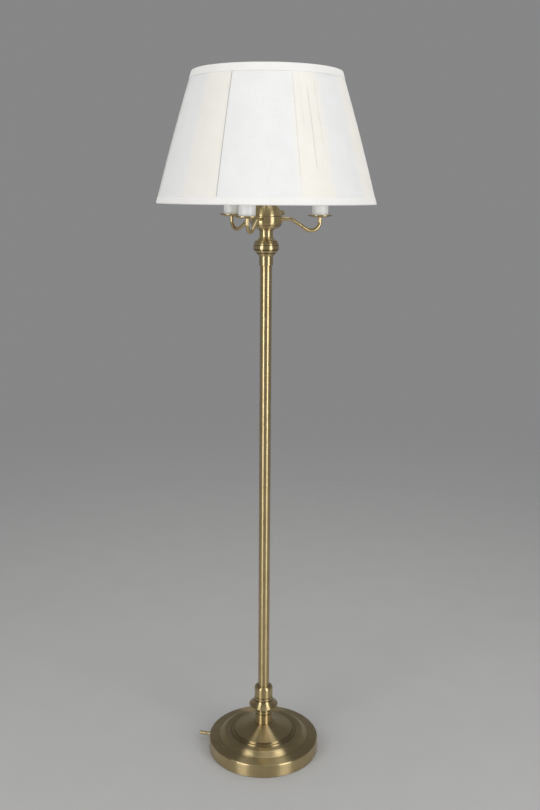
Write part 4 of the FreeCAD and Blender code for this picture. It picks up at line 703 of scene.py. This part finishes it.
def cover_point(turn, share):
    """A point of the cover: pulled straight over the ribs, slightly sunk between them, with a
    lapped seam on each rib and a few creases."""
    shade = bpy.context.scene.lamp_shade
    level = COVER_FOOT + (COVER_TOP - COVER_FOOT) * share
    rib, away = from_rib(turn)
    reach = frame_radius(level)
    arc = math.radians(away) * reach
    hang = math.sin(math.pi * share)
    out = RING_WIRE + WIRE_GAP + shade.cover_thickness / 2
    out += shade.swell * hang
    out -= shade.sink * math.sin(math.pi * abs(away) / RIB_SPACING) * hang ** 0.7
    low, high, fold = FOLDS[rib]
    out += shade.seam * fold * window(share, low, high, 0.06) * seam_section(arc)
    out += LAYER_RISE * doubled_at(turn)
    for aside, depth in creases_at(turn, share, reach):
        out -= shade.crease * depth * crease_section(aside)
    out += COVER_RIPPLE * noise.noise(Vector((turn / 6, share * 2.2, 3.7))) * hang
    out += COVER_PULL * noise.noise(Vector((turn / 1.6, share * 3, 9.1)))
    return round_point(turn, reach + out, level)


def lining_point(turn, share):
    """A point of the lining, which hangs from the top ring inside the ribs, is eased onto it
    in small puckers and is drawn straight between the ribs."""
    shade = bpy.context.scene.lamp_shade
    level = COVER_FOOT + (LINING_TOP - COVER_FOOT) * share
    away = from_rib(turn)[1]
    out = -RING_WIRE - WIRE_GAP - shade.lining_thickness / 2
    hang = math.sin(math.pi * share)
    out -= LINING_SINK * math.sin(math.pi * abs(away) / RIB_SPACING) * hang ** 0.7
    pucker = 0.5 + 0.5 * noise.noise(Vector((turn / 1.1, share * 1.5, 21.3)))
    out -= LINING_PUCKER * pucker * share ** 5 * min(1.0, (1 - share) * 12 + 0.25)
    ripple = 0.5 + 0.5 * noise.noise(Vector((turn / 4, share * 3, 5.5)))
    out -= LINING_RIPPLE * ripple * hang
    reach = frame_radius(level)
    out -= LINING_RIB * gauss(math.radians(away) * reach, 0.0012)
    return round_point(turn, reach + out, level)


def trim_profile(edge, band_end, downward):
    """Middle line of a folded band across its width, as (outward from the frame, level): up
    the outside, round the ring at the shade's edge and back inside."""
    shade = bpy.context.scene.lamp_shade
    half = shade.trim_thickness / 2
    outside = RING_WIRE + TRIM_GAP + shade.cover_thickness + half
    inside = -RING_WIRE - TRIM_GAP - shade.lining_thickness - half
    middle, radius = (outside + inside) / 2, (outside - inside) / 2
    side = -1 if downward else 1
    bend = edge - side * (half + radius)
    points = [(outside, band_end + (bend - band_end) * share) for share in even_steps(7)]
    points += [(middle + radius * math.cos(math.pi * share),
                bend + side * radius * math.sin(math.pi * share))
               for share in even_steps(12)[1:]]
    points += [(inside, bend - side * TUCK * share) for share in (0.3, 0.65, 1.0)]
    return points


def finish_shade_cloth(piece, thickness, cloth, node_name):
    apply_modifier(piece, "SOLIDIFY", thickness=thickness, offset=0.0)
    bpy.ops.object.shade_smooth_by_angle(angle=math.radians(60))
    piece.data.materials.append(cloth)
    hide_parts(node_name)
    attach(piece, "shade")


def make_trim(name, node_name, edge, band_end, downward):
    """A folded band round one edge of the shade, with its ends lapped at the back."""
    shade = bpy.context.scene.lamp_shade
    profile = trim_profile(edge, band_end, downward)
    width = sum(math.dist(first, second) for first, second in zip(profile, profile[1:]))
    rows = even_steps(len(profile) - 1)
    girth = 2 * math.pi * frame_radius(edge)

    def trim_point(turn, share):
        out, level = profile[round(share * (len(profile) - 1))]
        reach = frame_radius(level)
        away = from_rib(turn)[1]
        pull = noise.noise(Vector((turn / 1.3, level * 30, 2.2 if downward else 6.6)))
        wave = noise.noise(Vector((turn / 9, level * 10, 1.1)))
        lap = window((turn - LAP_AZIMUTH) % 360, 0, math.degrees(shade.lap / reach), 0.6)
        out += TRIM_PULL * pull + TRIM_WAVE * wave
        if out > 0:
            out += shade.trim_thickness * lap
            out += TRIM_RIB * gauss(math.radians(away) * reach, 0.004)
        return round_point(turn, reach + out, level)

    turns = [LAP_AZIMUTH - 180 + 360 * share for share in even_steps(300)]
    piece = lay_cloth(name, turns, rows, trim_point, girth, width)
    apply_modifier(piece, "SOLIDIFY", thickness=shade.trim_thickness, offset=0.0)
    apply_modifier(piece, "BEVEL", width=shade.trim_thickness * 0.3, segments=2,
                   limit_method="ANGLE", angle_limit=math.radians(50))
    bpy.ops.object.shade_smooth_by_angle(angle=math.radians(50))
    piece.data.materials.append(woven_cloth(f"{name} cloth", shade.trim, shade.trim_glow))
    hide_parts(node_name)
    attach(piece, "shade")
    return piece


# ---- Operators ----

class LAMP_OT_camera(bpy.types.Operator):
    """Place the camera where the lamp was seen from"""
    bl_idname = "lamp.camera"
    bl_label = "Camera"

    def execute(self, context):
        studio = context.scene.lamp_studio
        deselect_all()
        tilt = Euler((math.pi / 2 - studio.camera_down, 0, studio.camera_aside)).to_matrix()
        roll = Euler((0, 0, studio.camera_roll)).to_matrix()
        bpy.ops.object.camera_add(
            location=(0, -studio.camera_distance, studio.camera_height),
            rotation=(tilt @ roll).to_euler())
        camera = context.object
        camera.name = "view"
        camera.data.lens = studio.focal_length
        context.scene.camera = camera
        return {"FINISHED"}


class LAMP_OT_turned_brass(bpy.types.Operator):
    """Finish the parts that were turned about the column"""
    bl_idname = "lamp.turned_brass"
    bl_label = "Turned brass"

    def execute(self, context):
        brass = context.scene.lamp_brass
        dress(["lower_neck", "flare_collar", "foot_collar"], satin_brass(
            "foot brass", levels=[*moved(NECK_GROOVES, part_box("lower_neck")[0].z),
                                  *moved(COLLAR_GROOVES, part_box("foot_collar")[0].z)]))
        dress(["base_shell"], satin_brass("base brass", reaches=BASE_GROOVES))
        body_foot, body_top = (corner.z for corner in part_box("cluster_body"))
        dress(["knuckle_lower", "knuckle_upper", "cluster_stem", "cluster_body",
               "cluster_dome"], satin_brass(
            "head brass", levels=[*moved(BALL_GROOVES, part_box("knuckle_lower")[1].z),
                                  *moved(BODY_GROOVES, body_foot),
                                  *moved(BODY_EDGE, body_top)]))
        dress(["top_collar", "finial", "harp_saddle"], satin_brass("turned brass"))
        dress(["lower_pole", "upper_pole"], satin_brass("pole brass"))
        for index, candle in enumerate(CANDLES, 1):
            dress([f"drip_cup_{index}"], satin_brass(
                f"cup brass {index}", centre=(candle.x, candle.y, 0)))
        dress([f"candle_arm_{index}" for index in (1, 2, 3)],
              drawn_brass("arm brass", brass.pale, brass.deep, 0.20, 0.24))
        return {"FINISHED"}


class LAMP_OT_knobs(bpy.types.Operator):
    """Finish the parts that were turned about a level axis"""
    bl_idname = "lamp.knobs"
    bl_label = "Knobs and outlet"

    def execute(self, context):
        for names, azimuth in ((("cord_outlet", "cord_outlet_nut"), OUTLET_AZIMUTH),
                               (("candle_switch_knob", "candle_switch_nut"), SWITCH_AZIMUTH)):
            low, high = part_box(names[0])
            level = (low.z + high.z) / 2
            dress(names, satin_brass(f"{names[0]} brass", centre=(0, 0, level),
                                     turn=(0, math.pi / 2, math.radians(azimuth))))
        return {"FINISHED"}


class LAMP_OT_sockets(bpy.types.Operator):
    """Finish the sockets, the harp and what holds them"""
    bl_idname = "lamp.sockets"
    bl_label = "Sockets and harp"

    def execute(self, context):
        brass = context.scene.lamp_brass
        deeper = [value * 0.8 for value in brass.bright]
        dress(["socket_cap", "socket_shell", "screw_shells", "socket_contacts"],
              drawn_brass("pressed brass", brass.bright, deeper, 0.18, 0.32))
        dress(["harp", "harp_sleeves"],
              drawn_brass("harp wire", brass.pale, brass.deep, 0.22, 0.36))
        dress(["candle_socket_1", "candle_socket_2", "candle_socket_3", "socket_interior",
               "socket_key", "candle_switch"], moulded_black())
        dress(["socket_liner"], liner_card())
        return {"FINISHED"}


class LAMP_OT_sleeves(bpy.types.Operator):
    """Finish the white candle sleeves"""
    bl_idname = "lamp.sleeves"
    bl_label = "Candle sleeves"

    def execute(self, context):
        for index, candle in enumerate(CANDLES, 1):
            dress([f"candle_sleeve_{index}"],
                  candle_white(f"candle white {index}", (candle.x, candle.y, 0)))
        return {"FINISHED"}


class LAMP_OT_inner_parts(bpy.types.Operator):
    """Finish the weight, the fasteners and the leads"""
    bl_idname = "lamp.inner_parts"
    bl_label = "Inner parts"

    def execute(self, context):
        dress(["base_washer", "base_nipple", "tube_nuts", "pole_bushes", "pole_stud",
               "cluster_nipple", "arm_nuts", "candle_pillars"], plated_steel())
        dress(["base_weight"], cast_iron())
        dress(["main_lead", "arm_leads"], brown_sheath())
        return {"FINISHED"}


class LAMP_OT_shade_frame(bpy.types.Operator):
    """Finish the wire frame of the shade"""
    bl_idname = "lamp.shade_frame"
    bl_label = "Shade frame"

    def execute(self, context):
        dress(["shade_washer", "shade_fitter", "shade_bottom_ring", "shade_ribs"],
              enamelled_wire())
        return {"FINISHED"}


class LAMP_OT_shade_cover(bpy.types.Operator):
    """Make the cover of the shade"""
    bl_idname = "lamp.shade_cover"
    bl_label = "Shade cover"

    def execute(self, context):
        shade = context.scene.lamp_shade
        creases = [RIBS[index] + offset for offset, index, *_ in CREASES]
        foot, top, slant = cone_of(COVER_TOP, CLOTH_REACH)
        piece = lay_cloth("shade_cover_cloth", cloth_turns(RIBS + creases), even_steps(40),
                          cover_point, math.pi * (foot + top), slant)
        layers = piece.data.attributes.new("doubled", "FLOAT", "POINT")
        # The seams attribute holds the painted shade of the seams and creases
        seams = piece.data.attributes.new("seams", "FLOAT", "POINT")
        for vertex, layer, seam in zip(piece.data.vertices, layers.data, seams.data):
            turn = math.degrees(math.atan2(vertex.co.y, vertex.co.x)) % 360
            share = (vertex.co.z - COVER_FOOT) / (COVER_TOP - COVER_FOOT)
            layer.value = doubled_at(turn)
            seam.value = seam_shadow(turn, share, frame_radius(vertex.co.z))
        cloth = woven_cloth("cover cloth", shade.cloth, shade.glow, shade.doubled)
        finish_shade_cloth(piece, shade.cover_thickness, cloth, "shade_cover")
        return {"FINISHED"}


class LAMP_OT_shade_lining(bpy.types.Operator):
    """Make the lining of the shade"""
    bl_idname = "lamp.shade_lining"
    bl_label = "Shade lining"

    def execute(self, context):
        shade = context.scene.lamp_shade
        foot, top, slant = cone_of(LINING_TOP, -CLOTH_REACH)
        piece = lay_cloth("shade_lining_cloth", cloth_turns(RIBS, 1.2), even_steps(30),
                          lining_point, math.pi * (foot + top), slant)
        cloth = woven_cloth("lining cloth", shade.lining, shade.glow)
        finish_shade_cloth(piece, shade.lining_thickness, cloth, "shade_lining")
        return {"FINISHED"}


class LAMP_OT_shade_trims(bpy.types.Operator):
    """Make the folded bands at both edges of the shade"""
    bl_idname = "lamp.shade_trims"
    bl_label = "Shade trims"

    def execute(self, context):
        make_trim("shade_lower_band", "shade_lower_trim", SHADE_FOOT, LOWER_TRIM_TOP, True)
        make_trim("shade_upper_band", "shade_upper_trim", SHADE_TOP, UPPER_TRIM_FOOT, False)
        return {"FINISHED"}


class LAMP_OT_felt_pad(bpy.types.Operator):
    """Make the felt pad under the base"""
    bl_idname = "lamp.felt_pad"
    bl_label = "Felt pad"

    def execute(self, context):
        deselect_all()
        bpy.ops.mesh.primitive_circle_add(vertices=160, radius=FELT_RADIUS,
                                          fill_type="NGON", location=(0, 0, 0))
        piece = context.object
        piece.name = piece.data.name = "felt_pad"
        bpy.ops.object.mode_set(mode="EDIT")
        bpy.ops.mesh.select_all(action="SELECT")
        bpy.ops.mesh.extrude_region_move(
            TRANSFORM_OT_translate={"value": (0, 0, FELT_THICKNESS)})
        bpy.ops.mesh.select_all(action="SELECT")
        bpy.ops.mesh.normals_make_consistent(inside=False)
        bpy.ops.object.mode_set(mode="OBJECT")
        apply_modifier(piece, "BEVEL", width=FELT_THICKNESS * 0.3, segments=3,
                       limit_method="ANGLE")
        bpy.ops.object.shade_smooth_by_angle(angle=math.radians(40))
        piece.data.materials.append(pressed_felt())
        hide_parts("base_felt")
        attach(piece, "stand")
        return {"FINISHED"}


# ---- Studio ----

# Softboxes in front of the lamp: name, degrees to the right of the front, and width
SOFTBOXES = [("left_softbox", -41, 0.88), ("right_softbox", 44, 0.94)]
TOP_LIGHT = Vector((0.3, -0.2, 3.0))
AIM_LEVEL = 0.85  # highest point of the column that a light looks at
HORIZON, OVERHEAD = 0.20, 0.55  # upward parts of the rays between which the ceiling darkens


def make_softbox(name, place, size, watts):
    """A rectangular lamp that looks at the column."""
    deselect_all()
    aim = Vector((0, 0, min(place.z, AIM_LEVEL))) - place
    bpy.ops.object.light_add(type="AREA", location=place,
                             rotation=aim.to_track_quat("-Z", "Y").to_euler())
    lamp = bpy.context.object
    lamp.name = name
    lamp.data.shape = "RECTANGLE"
    lamp.data.size, lamp.data.size_y = size
    lamp.data.energy = watts
    lamp.visible_camera = False


def make_backdrop(studio):
    """A pale surround for the camera and for reflections, and a soft fill for the rest."""
    scene = bpy.context.scene
    world = scene.world = scene.world or bpy.data.worlds.new("surround")
    world.use_nodes = True
    tree = world.node_tree
    tree.nodes.clear()
    path = node(tree, "LightPath").outputs
    seen = math_node(tree, "MAXIMUM", path["Is Camera Ray"], math_node(
        tree, "MAXIMUM", path["Is Glossy Ray"], path["Is Transmission Ray"]))
    fill = node(tree, "Background", Color=(1, 1, 1, 1), Strength=studio.fill)
    rise = node(tree, "SeparateXYZ", _0=node(tree, "TexCoord").outputs["Generated"])
    above = ranged(tree, rise.outputs[2], HORIZON, OVERHEAD, 0.0, 1.0, smooth=True)
    pale = node(tree, "Background", Strength=1.0,
                Color=mixed(tree, above, studio.backdrop, studio.ceiling))
    blend_shaders(tree, seen, fill, pale, node(tree, "OutputWorld"))


def make_floor(studio):
    """A round floor that fades into the surround."""
    deselect_all()
    bpy.ops.mesh.primitive_circle_add(vertices=128, radius=studio.floor_size,
                                      fill_type="NGON", location=(0, 0, -0.0002))
    floor = bpy.context.object
    floor.name = "floor"
    material, tree, shader = new_finish("studio floor", Roughness=0.85,
                                        Specular_IOR_Level=0.2)
    reach = reach_and_level(tree)[0]
    grain = clouds(tree, object_place(tree), 9.0, 4.0)
    tone = patchy(tree, grain, 0.3, 0.7, studio.floor,
                  [value * 0.97 for value in studio.floor])
    wire_up(tree, shader, Base_Color=tone)
    away = ranged(tree, reach, studio.floor_solid, studio.floor_size * 0.95, 0.0, 1.0,
                  smooth=True)
    blend_shaders(tree, away, shader, node(tree, "BsdfTransparent"),
                  tree.nodes["Material Output"])
    floor.data.materials.append(material)


class LAMP_OT_stage(bpy.types.Operator):
    """Make the floor, the backdrop and the lights"""
    bl_idname = "lamp.stage"
    bl_label = "Stage"

    def execute(self, context):
        studio = context.scene.lamp_studio
        context.scene.view_settings.view_transform = "Standard"
        make_backdrop(studio)
        make_floor(studio)
        for name, aside, width in SOFTBOXES:
            place = round_point(aside - 90, studio.softbox_distance, studio.softbox_level)
            make_softbox(name, place, (width, studio.softbox_height),
                         studio.key * width * studio.softbox_height)
        make_softbox("top_light", TOP_LIGHT, (studio.top_size, studio.top_size), studio.top)
        return {"FINISHED"}


OPERATORS = [
    LAMP_OT_camera, LAMP_OT_turned_brass, LAMP_OT_knobs, LAMP_OT_sockets, LAMP_OT_sleeves,
    LAMP_OT_inner_parts, LAMP_OT_shade_frame, LAMP_OT_shade_cover, LAMP_OT_shade_lining,
    LAMP_OT_shade_trims, LAMP_OT_felt_pad, LAMP_OT_stage,
]


class LAMP_PT_panel(bpy.types.Panel):
    """Settings and steps of the floor lamp"""
    bl_idname = "LAMP_PT_panel"
    bl_label = "Floor lamp"
    bl_space_type = "VIEW_3D"
    bl_region_type = "UI"
    bl_category = "Floor lamp"

    def draw(self, context):
        for operator in OPERATORS:
            self.layout.operator(operator.bl_idname)
        for name, group in SETTINGS.items():
            box = self.layout.box()
            for setting in group.__annotations__:
                box.prop(getattr(context.scene, name), setting)


def register():
    for item in [*SETTINGS.values(), *OPERATORS, LAMP_PT_panel]:
        bpy.utils.register_class(item)
    for name, group in SETTINGS.items():
        setattr(bpy.types.Scene, name, bpy.props.PointerProperty(type=group))


def unregister():
    for name in SETTINGS:
        delattr(bpy.types.Scene, name)
    for item in reversed([*SETTINGS.values(), *OPERATORS, LAMP_PT_panel]):
        bpy.utils.unregister_class(item)


def main():
    register()
    for operator in OPERATORS:
        family, step = operator.bl_idname.split(".")
        getattr(getattr(bpy.ops, family), step)()


if __name__ == "__main__":
    main()
